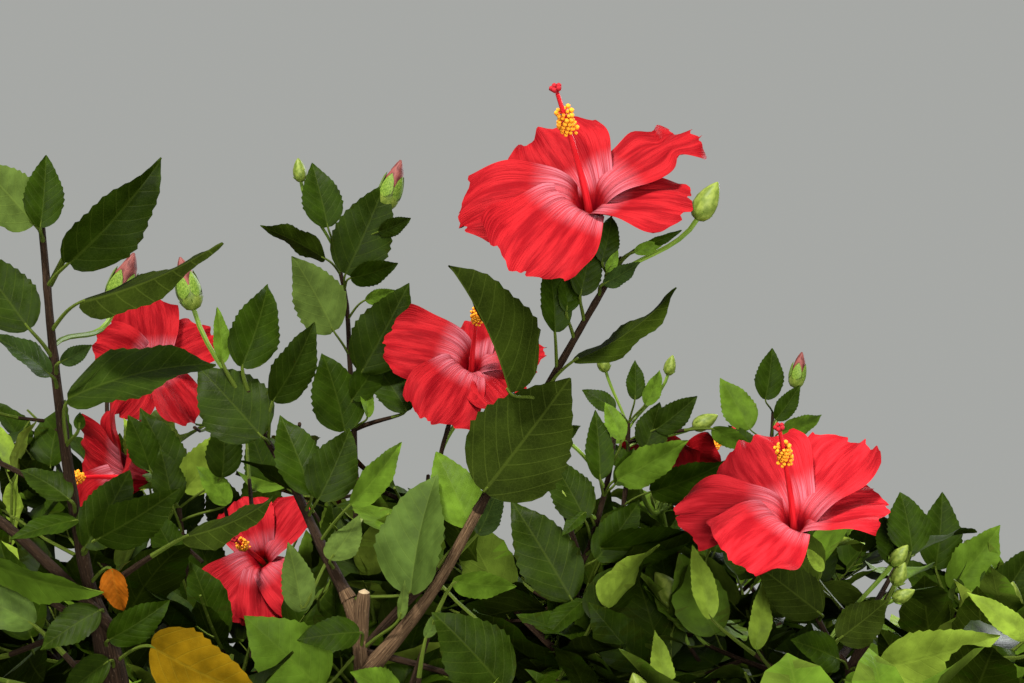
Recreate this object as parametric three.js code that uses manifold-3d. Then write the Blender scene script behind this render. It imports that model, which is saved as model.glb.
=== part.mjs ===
// A garden hibiscus shrub in bloom: a short stem base, boughs that fork towards the light, and one
// leafy mass on the end of each bough, with its twigs, leaves, buds and open blooms fused on.
// Millimetres, +Z up. The origin is the middle of the flat cut under the stem base, at ground level.
// The side that the shrub is best seen from faces -Y.
import * as THREE from "three";
import { mergeVertices } from "three/addons/utils/BufferGeometryUtils.js";
import Module from "manifold-3d";

const wasm = await Module();
wasm.setup();

// Stem base: round, with root lobes at its foot and a low dome on top, leaning a little
const BASE = {
  height: 140, top: 42, waist: 35, flare: 62, lobes: 5, lobeShare: 0.14, dome: 14, lean: [6, -9],
  sides: 15, rings: 4,
};
// Steps from one given point of a stem to the next
const STEPS = 8;
// Gap between solids that meet, and the slack that a later solid leaves round an earlier one
const GAP = 0.3;
const SLACK = 0.4;
// Boughs: radius at the foot of a bough from the base, of a side bough, of a short one, and at
// every tip; the swelling where a bough leaves; how it leaves and how strongly it bends
const BOUGH = {
  foot: 15, sideFoot: 9.5, shortFoot: 7, short: 200, tip: 5.4, sides: 5, ringEvery: 165,
  swell: 0.35, swellLength: 60, startOut: 16, startHigh: 0.8, leaveOut: 0.62, leaveUp: 0.78,
  follow: 0.9, bend: 0.36,
};
// A mass's own stem, and the twigs on it: where they stand, how they leave and how long they are
const LEADER = { tip: 2.2, sides: 4 };
const TWIG = {
  length: 200, foot: 3.4, tip: 1.7, sides: 3, rise: 0.42, sag: 0.1, zone: [0.05, 0.9],
  angle: [0.78, 1.1], byPlace: [1.05, 0.7], byChance: [0.85, 1.15],
};
// Leaves: stalk and blade in one length, larger than life (life is 1) because they are fewer
const LEAF = {
  length: 104, width: 0.58, widest: 0.5, arch: 0.05, rootOut: 1, step: 35, everyNth: 2, first: 18,
  largerThanLife: 1.46, openLow: 1.12, openHigh: 0.62, lift: 0.18, endShare: 0.72, byChance: [0.86, 1.1],
};
// Blooms: petal, the notch between two, its raised edge, column, green cup behind, flower stalk
const BLOOM = {
  petals: 5, petal: 67, dip: 0.88, edge: 11, thick: 4, offMiddle: 16, column: 82, columnRadius: 2.6,
  anthers: 6.5, calyx: 24, cup: 9, stalk: 62, stalkRadius: 1.9, facesOut: 0.75, facesUp: 0.7,
};
// Buds
const BUD = { length: 38, width: 13, widest: 0.38, stalkRadius: 1.6, sunk: 5 };
const GOLDEN = THREE.MathUtils.degToRad(137.5);
const UP = new THREE.Vector3(0, 0, 1);
const FRONT = new THREE.Vector3(0, -1, 0);
// A level direction that headings round an upright stem are measured from
const LEVEL = new THREE.Vector3(0.6, 0.8, 0);

const BARK = new THREE.MeshStandardMaterial({ color: 0x6b5648, roughness: 0.85, metalness: 0 });
const LEAFAGE = new THREE.MeshStandardMaterial({ color: 0x35561a, roughness: 0.45, metalness: 0 });

const vec = (x, y, z) => new THREE.Vector3(x, y, z);
const mix = (a, b, share) => a + (b - a) * share;

// A number from 0 to 1 that depends only on a seed and an index.
function chance(seed, index) {
  let state = (seed * 7919 + index * 104729 + 12345) % 2147483647;
  for (let turn = 0; turn < 3; turn++) state = (state * 16807) % 2147483647;
  return state / 2147483647;
}

// Paths

// A line of points with the place and direction at any share of its length.
class Path {
  constructor(curve, pieces) {
    this.points = curve.getPoints(pieces);
    this.reach = [0];
    for (let i = 1; i < this.points.length; i++)
      this.reach.push(this.reach[i - 1] + this.points[i].distanceTo(this.points[i - 1]));
    this.length = this.reach.at(-1);
  }
  at(share) {
    const along = share * this.length;
    let i = 1;
    while (i < this.points.length - 1 && this.reach[i] < along) i++;
    const start = this.points[i - 1];
    const step = this.points[i].clone().sub(start);
    const part = (along - this.reach[i - 1]) / (this.reach[i] - this.reach[i - 1]);
    return { place: start.clone().addScaledVector(step, part), along: step.normalize() };
  }
}

const levelFor = (along) => (Math.abs(along.dot(LEVEL)) > 0.8 ? UP : LEVEL);

// Two directions square to a stem's own, to measure headings round it.
function roundAbout(along, level = levelFor(along)) {
  const side = level.clone().cross(along).normalize();
  return [side, along.clone().cross(side)];
}

function awayFrom(along, heading, angle) {
  const [side, across] = roundAbout(along);
  return along
    .clone()
    .multiplyScalar(Math.cos(angle))
    .addScaledVector(side, Math.cos(heading) * Math.sin(angle))
    .addScaledVector(across, Math.sin(heading) * Math.sin(angle));
}

// A shoot that leaves at a direction and turns up towards the light.
function risingPath(start, direction, length, rise) {
  const knee = start.clone().addScaledVector(direction, length / 2);
  const turned = direction.clone().addScaledVector(UP, rise).normalize();
  const tip = knee.clone().addScaledVector(turned, length / 2);
  return new Path(new THREE.QuadraticBezierCurve3(start, knee, tip), 8);
}

// Solids

// A closed three.js geometry as a manifold-3d solid.
function solid(geometry) {
  geometry.deleteAttribute("normal");
  geometry.deleteAttribute("uv");
  const merged = mergeVertices(geometry, 1e-4);
  const mesh = new wasm.Mesh({
    numProp: 3,
    vertProperties: merged.attributes.position.array,
    triVerts: new Uint32Array(merged.index.array),
  });
  return new wasm.Manifold(mesh);
}

// Moves every vertex of a geometry to where place(vertex) says.
function reshaped(geometry, place) {
  const position = geometry.attributes.position;
  for (let i = 0; i < position.count; i++) {
    const moved = place(new THREE.Vector3().fromBufferAttribute(position, i));
    position.setXYZ(i, moved.x, moved.y, moved.z);
  }
  return geometry;
}

// A round limb along a path: a cylinder whose rings are set along it.
function limb(path, radiusAt, sides, rings) {
  const cylinder = new THREE.CylinderGeometry(1, 1, 1, sides, rings);
  const chord = path.points.at(-1).clone().sub(path.points[0]).normalize();
  const bent = reshaped(cylinder, (v) => {
    const share = v.y + 0.5;
    const { place, along } = path.at(share);
    const [side, across] = roundAbout(along, levelFor(chord));
    const radius = radiusAt(share);
    return place.addScaledVector(across, v.x * radius).addScaledVector(side, v.z * radius);
  });
  return solid(bent);
}

// A thin blade with a ring of outline points: place(angle, lift) puts each point, where lift is
// 1 on top of the middle, -1 under it and 0 on the outline.
function blade(points, place) {
  const ball = new THREE.SphereGeometry(1, points, 2);
  return solid(reshaped(ball, (v) => place(Math.atan2(-v.z, v.x), Math.round(v.y))));
}

// A leaf as a thin kite of four faces, arched along its rib. Its root lies a little outside the
// middle of its twig, and the twig closes over it.
function leafSolid({ root, tip, face }) {
  const along = tip.clone().sub(root).normalize();
  const foot = root.clone().addScaledVector(along, LEAF.rootOut);
  const length = tip.distanceTo(foot);
  const over = face.clone().addScaledVector(along, -face.dot(along)).normalize();
  const side = along.clone().cross(over);
  const kite = new THREE.TetrahedronGeometry(1);
  return solid(
    reshaped(kite, (v) => {
      if (v.y < 0) return v.x < 0 ? foot.clone() : tip.clone();
      return foot
        .clone()
        .addScaledVector(along, LEAF.widest * length)
        .addScaledVector(side, Math.sign(v.x) * LEAF.width * 0.5 * length)
        .addScaledVector(over, LEAF.arch * length);
    }),
  );
}

// An open bloom: the five petals as one thin dish round the throat, the long column with its
// swelling of anthers, and the flower stalk that widens into the green cup behind.
function bloomSolids({ root, throat, axis, way }) {
  const [side, across] = roundAbout(axis);
  const on = (out, heading, height) =>
    throat
      .clone()
      .addScaledVector(axis, height)
      .addScaledVector(side, Math.cos(heading) * out)
      .addScaledVector(across, Math.sin(heading) * out);
  const steps = BLOOM.petals * 3;
  const corolla = blade(steps, (angle, lift) => {
    if (lift) return on(BLOOM.offMiddle, 1, (lift * BLOOM.thick) / 2);
    const corner = Math.floor((angle * steps) / (2 * Math.PI) + steps + 0.25) % 3;
    if (corner) return on(BLOOM.petal, angle, BLOOM.edge);
    return on(BLOOM.petal * BLOOM.dip, angle, BLOOM.edge * 0.3);
  });
  const column = new THREE.LineCurve3(throat, throat.clone().addScaledVector(way, BLOOM.column));
  const thickness = (share) => (share > 0.7 && share < 0.8 ? BLOOM.anthers : BLOOM.columnRadius);
  const foot = on(0, 0, -BLOOM.calyx);
  const knee = on(0, 0, -BLOOM.calyx - 0.3 * foot.distanceTo(root));
  const stalk = new THREE.CatmullRomCurve3([root, knee, foot, on(0, 0, 0.5)]);
  const swell = (share) => (share > 0.9 ? BLOOM.cup : BLOOM.stalkRadius);
  return [corolla, limb(new Path(column, 4), thickness, 3, 4), limb(new Path(stalk, 12), swell, 3, 4)];
}

// A bud: a long drop on its own stalk.
function budSolids({ root, tip }) {
  const axis = tip.clone().sub(root).normalize();
  const foot = tip.clone().addScaledVector(axis, -BUD.length);
  const stalk = new THREE.LineCurve3(root, foot.clone().addScaledVector(axis, BUD.sunk));
  const [side, across] = roundAbout(axis);
  const drop = new THREE.OctahedronGeometry(1);
  const formed = reshaped(drop, (v) =>
    foot
      .clone()
      .addScaledVector(axis, v.y > 0.5 ? BUD.length : v.y < -0.5 ? 0 : BUD.length * BUD.widest)
      .addScaledVector(side, (-v.x * BUD.width) / 2)
      .addScaledVector(across, (v.z * BUD.width) / 2),
  );
  return [limb(new Path(stalk, 1), () => BUD.stalkRadius, 3, 1), solid(formed)];
}

// The shrub's plan

// Stems that show best: where the bough ends, and what the mass's own stem runs through. Where it
// has low twigs, the first stretch of that stem bears leaves by rule. A twig, leaf or bud above is
// [share of the rest of the stem that it leaves at, then how far its tip lies from there],
// and a bloom is its throat, the way that it faces and, where that differs, its column's way.
const CHOSEN = [
  {
    name: "front_left", from: "base", at: 0.9, to: [-180, -246, 1052], lowTwigs: 2,
    through: [[-201, -282, 1252], [-220, -301, 1320], [-229, -334, 1406], [-238, -345, 1487]],
    leaves: [[1, 3, -12, 46], [0.98, -30, 22, 40], [0.66, 64, -22, 74], [0.55, 92, 6, 47],
      [0.52, -48, -20, 42], [0.2, 84, -46, 22], [0.36, -60, 30, 10], [0.08, 62, -18, 52]],
    twigs: [[0.02, -105, 40, 70], [0.08, 62, 84, 66], [0.3, -60, 74, 60]],
  },
  {
    name: "front", from: "base", at: 0.75, to: [-95, -207, 1296],
    through: [[-113, -201, 1328], [-134, -187, 1367], [-151, -180, 1393]],
    leaves: [[1, -42, -14, 48], [0.95, 12, 8, 84], [0.8, 48, 14, 66], [0.5, 62, -22, 42],
      [0.62, -70, 20, 6], [0.25, 48, 26, 66], [0.1, -64, -36, 22]],
    twigs: [[0.05, 30, 96, 34]],
  },
  {
    name: "tall", from: "front", at: 0.95, to: [-20, -224, 1347],
    through: [[18, -252, 1413], [51, -262, 1470], [62, -264, 1488]],
    leaves: [[0.02, 46, -40, 70], [0.38, -58, -34, 78], [0.44, 76, -24, 58], [0.5, -12, 26, 50],
      [0.74, -14, 34, 26], [0.86, 36, 30, 12], [0.9, 58, 40, 24]],
    buds: [[0.97, 54, -14, 42]],
    blooms: [{ throat: [43, -268, 1511], axis: [-0.12, -0.84, 0.53], column: [-0.25, -0.7, 0.68] }],
  },
  {
    name: "centre_back", from: "back_left", at: 0.7, to: [-120, 108, 1205], lowTwigs: 2,
    through: [[-128, 99, 1424], [-131, 92, 1470], [-134, 86, 1520], [-142, 79, 1560]],
    leaves: [[1, -28, -16, 62], [0.9, 34, -30, 76], [0.82, -62, -18, 24], [0.6, -46, -8, 66],
      [0.66, 58, 14, 22], [0.3, 50, -34, 78], [0.1, -32, -44, 18], [0.95, 52, 24, 46]],
    buds: [[0.98, 32, 12, 88], [0.97, -36, 24, 76]],
    twigs: [[0.02, -74, 70, 6], [0.06, 56, 84, 10]],
  },
  {
    name: "centre", from: "front", at: 0.5, to: [-50, 92, 1140], lowTwigs: 2,
    through: [[-52, 96, 1345], [-58, 92, 1390], [-50, 88, 1425]],
    leaves: [[0.9, -48, 8, 52], [1, 10, 30, 92], [0.2, -58, -10, 46]],
    blooms: [{ throat: [-32, 62, 1467], axis: [0.02, -0.85, 0.53] }],
    twigs: [[0.08, -74, -64, 30]],
  },
  {
    name: "centre_right", from: "right", at: 0.5, to: [34, -30, 1090], lowTwigs: 2,
    through: [[44, -34, 1285], [56, -40, 1330], [68, -46, 1376], [74, -32, 1412]],
    leaves: [[0.06, -64, -30, 74], [0.5, -34, -26, 62], [0.4, 74, -40, 28], [0.75, 66, -22, 34],
      [1, 8, -6, 56], [0.9, 44, 20, 48], [0.98, -36, 14, 50]],
    buds: [[0.7, -44, 12, 66]],
    twigs: [[0.03, 84, 52, 10], [0.03, -20, 96, -10]],
  },
  {
    name: "right", from: "base", at: 0.8, to: [204, -118, 1030], lowTwigs: 2,
    through: [[214, -128, 1228], [203, -132, 1262], [186, -136, 1296]],
    leaves: [[0.5, 82, -40, 20], [0.3, -64, -34, 46], [0.9, 56, -6, 66]],
    blooms: [{ throat: [175, -150, 1338], axis: [-0.13, -0.7, 0.7], column: [-0.15, -0.64, 0.75] }],
    twigs: [[0.05, 104, -24, 64], [0.1, -84, 50, 26], [0.4, 62, 84, 60]],
  },
  {
    name: "left", from: "left_back", at: 0.55, to: [-316, 138, 1195], lowTwigs: 2,
    through: [[-330, 150, 1392], [-350, 176, 1440], [-352, 190, 1476]],
    leaves: [[1, -38, -40, 60], [0.6, 60, -50, 30]],
    buds: [[1, 26, -20, 70]],
    blooms: [{ throat: [-334, 226, 1499], axis: [0.84, -0.5, 0.2] }],
    twigs: [[0.1, -100, 10, 50], [0.3, 74, 84, 20]],
  },
  {
    name: "inner_left", from: "front_left", at: 0.55, to: [-260, 84, 1075], lowTwigs: 2,
    through: [[-270, 90, 1265], [-285, 100, 1310], [-288, 96, 1345]],
    leaves: [[1, 60, -52, 60], [0.5, 74, -40, 20]],
    buds: [[0.9, 32, -50, 70]],
    blooms: [{ throat: [-306, 52, 1378], axis: [-0.8, -0.55, 0.1] },
      { throat: [-232, 262, 1318], axis: [-0.05, -0.97, 0.22] }],
    twigs: [[0.1, -90, -40, 50], [0.1, 66, 90, 20], [0.5, 30, -70, 62]],
  },
  {
    name: "centre_far", from: "back_right", at: 0.62, to: [98, 196, 1125], lowTwigs: 2,
    through: [[96, 196, 1330], [100, 194, 1385], [102, 190, 1432]],
    leaves: [[1, -34, -20, 50], [1, 36, -10, 54], [0.8, 66, -26, 28], [0.7, -60, -30, 30]],
    buds: [[1, -22, 0, 56], [1, 34, 6, 60]],
    blooms: [{ throat: [168, 245, 1392], axis: [0.62, -0.35, 0.7] }],
    twigs: [[0.05, -80, 50, 0], [0.3, -58, -40, 30]],
  },
  {
    name: "back_right", from: "base", at: 0.7, to: [246, 392, 1165], lowTwigs: 2,
    through: [[262, 420, 1372], [270, 434, 1425], [274, 440, 1464]],
    leaves: [[1, -32, -20, 66], [0.8, -66, -30, 30]],
    buds: [[1, 24, -10, 72]],
    twigs: [[0.1, -84, -30, 20], [0.1, 84, 30, 10], [0.4, -10, 74, 40]],
  },
];

// Boughs that carry others and end in a mass of their own, and rings of stems that fill the crown
// round the chosen ones: heading in plan, how far out the bough and the mass end, and how high.
const CARRIERS = {
  name: "carrier", names: ["back_left", "left_back"], parents: ["base", "base"], headings: [112, 160],
  at: 0.85, out: [205, 250], height: [1110, 1395], frontSink: 0, twigs: 3, size: 1, blooms: [0, 1],
};
const RINGS = [
  {
    name: "shoulder", headings: [-58, -17, 26, 78, 122, 165, 208, 249], at: 0.42,
    parents: ["right", "right", "back_right", "back_left", "left_back", "left_back", "front_left", "front"],
    out: [305, 445], height: [830, 1225], frontSink: 0.1, twigs: 3, size: 1.1, blooms: [0, 2, 4, 6],
  },
  {
    name: "low", headings: [-34, 20, 76, 133, 187, 237, 288], at: 0.14,
    parents: ["right", "back_right", "back_left", "left_back", "front_left", "front", "right"],
    out: [315, 505], height: [385, 765], frontSink: 0, twigs: 3, size: 1.15, blooms: [0, 2, 5],
  },
];

function ringStem(ring, i) {
  const vary = (index, amount) => (chance(i + 3, index) - 0.5) * amount;
  const heading = THREE.MathUtils.degToRad(ring.headings[i]);
  const far = ring.out.map((out) => out * (1 + vary(1, 0.1)));
  const sink = ring.frontSink * Math.max(0, -Math.sin(heading));
  const high = ring.height.map((height) => height * (1 + vary(2, 0.07) - sink));
  const place = (share, turn) => {
    const out = mix(far[0], far[1], share ** 0.8);
    return [Math.cos(turn) * out, Math.sin(turn) * out, mix(high[0], high[1], share)];
  };
  const spread = vary(3, 0.3);
  return {
    name: ring.names?.[i] ?? `${ring.name}_${i + 1}`, from: ring.parents[i], at: ring.at, size: ring.size,
    to: place(0, heading), through: [place(0.5, heading + spread * 0.5), place(1, heading + spread)],
    lowTwigs: ring.twigs, bloomCount: ring.blooms.includes(i) ? 1 : 0,
  };
}

function allStems() {
  const rings = [CARRIERS, ...RINGS].flatMap((ring) => ring.headings.map((_, i) => ringStem(ring, i)));
  const chosen = CHOSEN.map((stem) => ({ size: 0.92, lowTwigs: 0, bloomCount: 0, ...stem }));
  return [...chosen, ...rings].map((stem, i) => ({ ...stem, seed: i + 1 }));
}

// Growing

// The bough's path: from its place on the base or on its parent to where its mass begins.
function boughPath(stem, paths) {
  const end = vec(...stem.to);
  const next = vec(...stem.through[0]);
  const into = next.clone().sub(end).normalize();
  let start, leaving;
  if (stem.from === "base") {
    const outward = vec(end.x, end.y, 0).normalize();
    start = vec(...BASE.lean, 0).multiplyScalar(stem.at).setZ(BASE.height * stem.at * BOUGH.startHigh);
    start.addScaledVector(outward, BOUGH.startOut);
    leaving = outward.multiplyScalar(BOUGH.leaveOut).addScaledVector(UP, BOUGH.leaveUp);
  } else {
    const { place, along } = paths.get(stem.from).at(stem.at);
    start = place;
    leaving = end.clone().sub(start).normalize().addScaledVector(along, BOUGH.follow).normalize();
  }
  const reach = end.distanceTo(start) * BOUGH.bend;
  const curve = new THREE.CubicBezierCurve3(
    start,
    start.clone().addScaledVector(leaving, reach),
    end.clone().addScaledVector(into, -reach),
    end,
  );
  return new Path(curve, 24);
}

// The mass's own stem starts just clear of the bough's tip.
function leaderPath(stem, bough) {
  const { place, along } = bough.at(1);
  const points = [place.addScaledVector(along, GAP), ...stem.through.map((p) => vec(...p))];
  return new Path(new THREE.CatmullRomCurve3(points, false, "catmullrom", 0.5), STEPS * stem.through.length);
}

// A twig of a chosen stem, by the place of its tip.
function chosenTwig({ place, along }, reach) {
  const tip = place.clone().add(reach);
  const knee = place.clone().lerp(tip, 0.5).addScaledVector(UP, -TWIG.sag * reach.length());
  return new Path(new THREE.QuadraticBezierCurve3(place, knee.addScaledVector(along, 4), tip), 8);
}

// Twig k of those that a stem bears by rule, set round it by the golden angle.
function ruledTwig(stem, leader, k, top) {
  const draw = (index) => chance(stem.seed, 10 * (k + 1) + index);
  const share = mix(...TWIG.zone, (k + 0.2 + 0.6 * draw(0)) / stem.lowTwigs) * top;
  const heading = stem.seed * 2.1 + k * GOLDEN + (draw(1) - 0.5) * 0.5;
  const angle = mix(...TWIG.angle, draw(2));
  const length = TWIG.length * stem.size * mix(...TWIG.byPlace, share) * mix(...TWIG.byChance, draw(3));
  const { place, along } = leader.at(share);
  return risingPath(place, awayFrom(along, heading, angle), length, TWIG.rise);
}

// Everything that grows on one mass, as plain measures: twigs, leaves, buds and blooms.
function growMass(stem, leader) {
  const low = stem.leaves && stem.lowTwigs ? leader.reach[STEPS] / leader.length : 0;
  const on = (share) => leader.at(mix(low, 1, share));
  const twigs = (stem.twigs ?? []).map(([share, ...reach]) => chosenTwig(on(share), vec(...reach)));
  for (let k = 0; k < stem.lowTwigs; k++) twigs.push(ruledTwig(stem, leader, k, low || 1));
  const leaves = (stem.leaves ?? []).map(([share, ...reach]) => {
    const { place } = on(share);
    const tip = place.clone().add(vec(...reach));
    return { root: place, tip, face: UP.clone().addScaledVector(FRONT, 0.7) };
  });
  const size = stem.size * LEAF.largerThanLife;
  const leafyTo = (stem.leaves ? low : 1) * leader.length;
  const shoots = [{ path: leader, seed: stem.seed * 50, start: 0, end: leafyTo }];
  twigs.forEach((path, k) =>
    shoots.push({ path, seed: stem.seed * 50 + k + 1, start: LEAF.first, end: path.length }),
  );
  for (const shoot of shoots) {
    const count = Math.floor((shoot.end - shoot.start) / LEAF.step);
    for (let j = LEAF.everyNth; j <= count; j += LEAF.everyNth) leaves.push(ruledLeaf(shoot, j, size));
    if (shoot.end === shoot.path.length) leaves.push(...tipLeaves(shoot, size));
  }
  const buds = (stem.buds ?? []).map(([share, ...reach]) => {
    const { place } = on(share);
    return { root: place, tip: place.clone().add(vec(...reach)) };
  });
  const blooms = (stem.blooms ?? []).map(({ throat, axis, column = axis }) => ({
    throat: vec(...throat), axis: vec(...axis).normalize(), way: vec(...column).normalize(),
    root: nearestOn([leader, ...twigs], vec(...throat)),
  }));
  for (let k = 0; k < stem.bloomCount; k++) {
    const { place, along } = leader.at(0.92 - 0.3 * k);
    const axis = vec(place.x, place.y, 0).setLength(BLOOM.facesOut).setZ(BLOOM.facesUp).normalize();
    const lean = along.clone().add(axis).normalize();
    const throat = place.clone().addScaledVector(lean, BLOOM.stalk + BLOOM.calyx);
    blooms.push({ root: place, axis, way: axis, throat });
  }
  return { twigs, leaves, buds, blooms };
}

// The leaf at step j of a shoot, set round it by the golden angle.
function ruledLeaf(shoot, j, size) {
  const along = shoot.start + j * LEAF.step;
  const share = Math.min(along / shoot.path.length, 1);
  const at = shoot.path.at(share);
  const heading = shoot.seed * 1.7 + j * GOLDEN;
  const open = mix(LEAF.openLow, LEAF.openHigh, share ** 2) + (chance(shoot.seed, j * 3) - 0.5) * 0.25;
  const direction = awayFrom(at.along, heading, open).addScaledVector(UP, LEAF.lift).normalize();
  const vary = mix(1, LEAF.endShare, share ** 3) * mix(...LEAF.byChance, chance(shoot.seed, j * 3 + 1));
  return {
    root: at.place,
    tip: at.place.clone().addScaledVector(direction, LEAF.length * size * vary),
    face: UP.clone().addScaledVector(at.along, 0.5),
  };
}

// Two young leaves that end a shoot.
function tipLeaves(shoot, size) {
  const at = shoot.path.at(1);
  return [0, 1].map((k) => {
    const direction = awayFrom(at.along, shoot.seed + k * 2.6, 0.34 + 0.2 * k);
    return {
      root: at.place,
      tip: at.place.clone().addScaledVector(direction, LEAF.length * size * mix(0.62, 0.78, k)),
      face: UP.clone().addScaledVector(at.along, 0.5),
    };
  });
}

// The place on some paths that is nearest to a target.
function nearestOn(paths, target) {
  const places = paths.flatMap((path) => [0.4, 0.6, 0.8, 0.95].map((share) => path.at(share).place));
  return places.reduce((a, b) => (a.distanceTo(target) < b.distanceTo(target) ? a : b));
}

// Building

function boxesMeet(a, b) {
  return [0, 1, 2].every((i) => a.min[i] <= b.max[i] && b.min[i] <= a.max[i]);
}

function touches(piece, others) {
  const box = piece.boundingBox();
  return others.some((other) => boxesMeet(box, other.box) && piece.intersect(other.solid).volume() > 0);
}

function largestBody(shape) {
  return shape.decompose().reduce((a, b) => (a.volume() > b.volume() ? a : b));
}

function meshOf(name, shape, material) {
  const { numProp, numVert, vertProperties, triVerts } = shape.getMesh();
  const corners = new Float32Array(numVert * 3);
  for (let i = 0; i < numVert; i++) corners.set(vertProperties.subarray(i * numProp, i * numProp + 3), i * 3);
  const geometry = new THREE.BufferGeometry();
  geometry.setAttribute("position", new THREE.BufferAttribute(corners, 3));
  geometry.setIndex(new THREE.BufferAttribute(new Uint32Array(triVerts), 1));
  geometry.computeVertexNormals();
  const mesh = new THREE.Mesh(geometry, material);
  mesh.name = name;
  return mesh;
}

// The short stem base: flared and lobed at the ground, where it is cut flat.
function baseSolid(slack) {
  const shape = new THREE.CylinderGeometry(1, 1, 1, BASE.sides, BASE.rings);
  const formed = reshaped(shape, (v) => {
    const share = v.y + 0.5;
    const angle = Math.atan2(v.z, v.x);
    const flare = (BASE.flare - BASE.waist) * (1 - share) ** 3;
    const swell = (BASE.top - BASE.waist) * share ** 2;
    const lobe = 1 + BASE.lobeShare * (1 - share) * Math.cos(BASE.lobes * angle);
    const radius = Math.hypot(v.x, v.z) * ((BASE.waist + flare + swell) * lobe + slack);
    const dome = share === 1 && Math.hypot(v.x, v.z) < 0.5 ? BASE.dome : 0;
    return vec(
      Math.cos(angle) * radius + BASE.lean[0] * share,
      -Math.sin(angle) * radius + BASE.lean[1] * share,
      share * (BASE.height + slack) + dome,
    );
  });
  return solid(formed);
}

function boughSolid(path, stem, slack) {
  const side = path.length < BOUGH.short ? BOUGH.shortFoot : BOUGH.sideFoot;
  const foot = stem.from === "base" ? BOUGH.foot : side;
  const rings = Math.max(2, Math.round(path.length / BOUGH.ringEvery));
  const radiusAt = (share) => {
    const swell = foot * BOUGH.swell * Math.max(0, 1 - (share * path.length) / BOUGH.swellLength);
    return mix(foot, BOUGH.tip, share ** 0.8) + swell + slack;
  };
  return limb(path, radiusAt, BOUGH.sides, rings);
}

function leaderSolid(stem, leader, slack) {
  const radiusAt = (share) => mix(BOUGH.tip, LEADER.tip, share) + slack;
  return limb(leader, radiusAt, LEADER.sides, 2 * stem.through.length);
}

// Joins pieces onto a mass, and skips what would touch another piece of the shrub.
function joined(mass, groups, others) {
  const free = groups.filter((pieces) => !pieces.some((piece) => touches(piece, others)));
  return wasm.Manifold.union([mass, ...free.flat()]);
}

// The twigs, buds and leaves of a mass, in the order that they take their places.
function growthSolids({ twigs, buds, leaves }) {
  const twigRadius = (share) => mix(TWIG.foot, TWIG.tip, share);
  return [
    ...twigs.map((path) => [limb(path, twigRadius, TWIG.sides, 2)]),
    ...buds.map(budSolids),
    ...leaves.map((leaf) => [leafSolid(leaf)]),
  ];
}

const obstacle = (name, shape) => ({ name, solid: shape, box: shape.boundingBox() });

const shrub = new THREE.Group();
shrub.name = "hibiscus_shrub";
// What is built so far, so that later pieces keep clear of it
const built = [];
const stems = allStems();
const paths = new Map();

shrub.add(meshOf("stem_base", baseSolid(0), BARK));
built.push(obstacle("stem_base", baseSolid(SLACK)));

// Parents come before the boughs that leave them.
const waiting = [...stems];
while (waiting.length) {
  const stem = waiting.shift();
  if (stem.from !== "base" && !paths.has(stem.from)) {
    waiting.push(stem);
    continue;
  }
  const name = `bough_${stem.name}`;
  const path = boughPath(stem, paths);
  paths.set(stem.name, path);
  let shape = boughSolid(path, stem, 0);
  const box = shape.boundingBox();
  for (const other of built) if (boxesMeet(box, other.box)) shape = shape.subtract(other.solid);
  shrub.add(meshOf(name, largestBody(shape), BARK));
  built.push(obstacle(name, boughSolid(path, stem, SLACK)));
}

// Every mass keeps clear of the limbs and of the other masses. Stems and blooms take their places
// before any twig or leaf.
const masses = stems.map((stem) => {
  const leader = leaderPath(stem, paths.get(stem.name));
  return { stem, leader, growth: growMass(stem, leader) };
});
const cores = masses.map(({ stem, leader }) => obstacle(stem.name, leaderSolid(stem, leader, SLACK)));
const apartFrom = (name) => [...built, ...cores.filter((core) => core.name !== name)];
masses.forEach((mass, i) => {
  const { stem, leader, growth } = mass;
  mass.shape = joined(leaderSolid(stem, leader, 0), growth.blooms.map(bloomSolids), apartFrom(stem.name));
  cores[i] = obstacle(stem.name, wasm.Manifold.union([cores[i].solid, mass.shape]));
});
for (const { stem, shape, growth } of masses) {
  const whole = largestBody(joined(shape, growthSolids(growth), apartFrom(stem.name)));
  shrub.add(meshOf(`foliage_${stem.name}`, whole, LEAFAGE));
  built.push(obstacle(stem.name, whole));
}

export default shrub;
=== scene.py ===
# %% [markdown]
# # A garden hibiscus shrub in bloom
# The shrub is about 1.6 m tall. It has a short stem base at the ground, boughs that fork towards
# the light, and leafy shoots with glossy toothed leaves, green buds and wide red flowers. The
# solids of the CAD model are loaded first as a fixed frame. Everything here grows on the same
# paths, so it keeps the crown that the solids have, with finer twigs and many more leaves.

# %% The frame and the tools
import math

import bpy
import numpy as np
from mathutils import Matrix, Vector, noise


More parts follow.
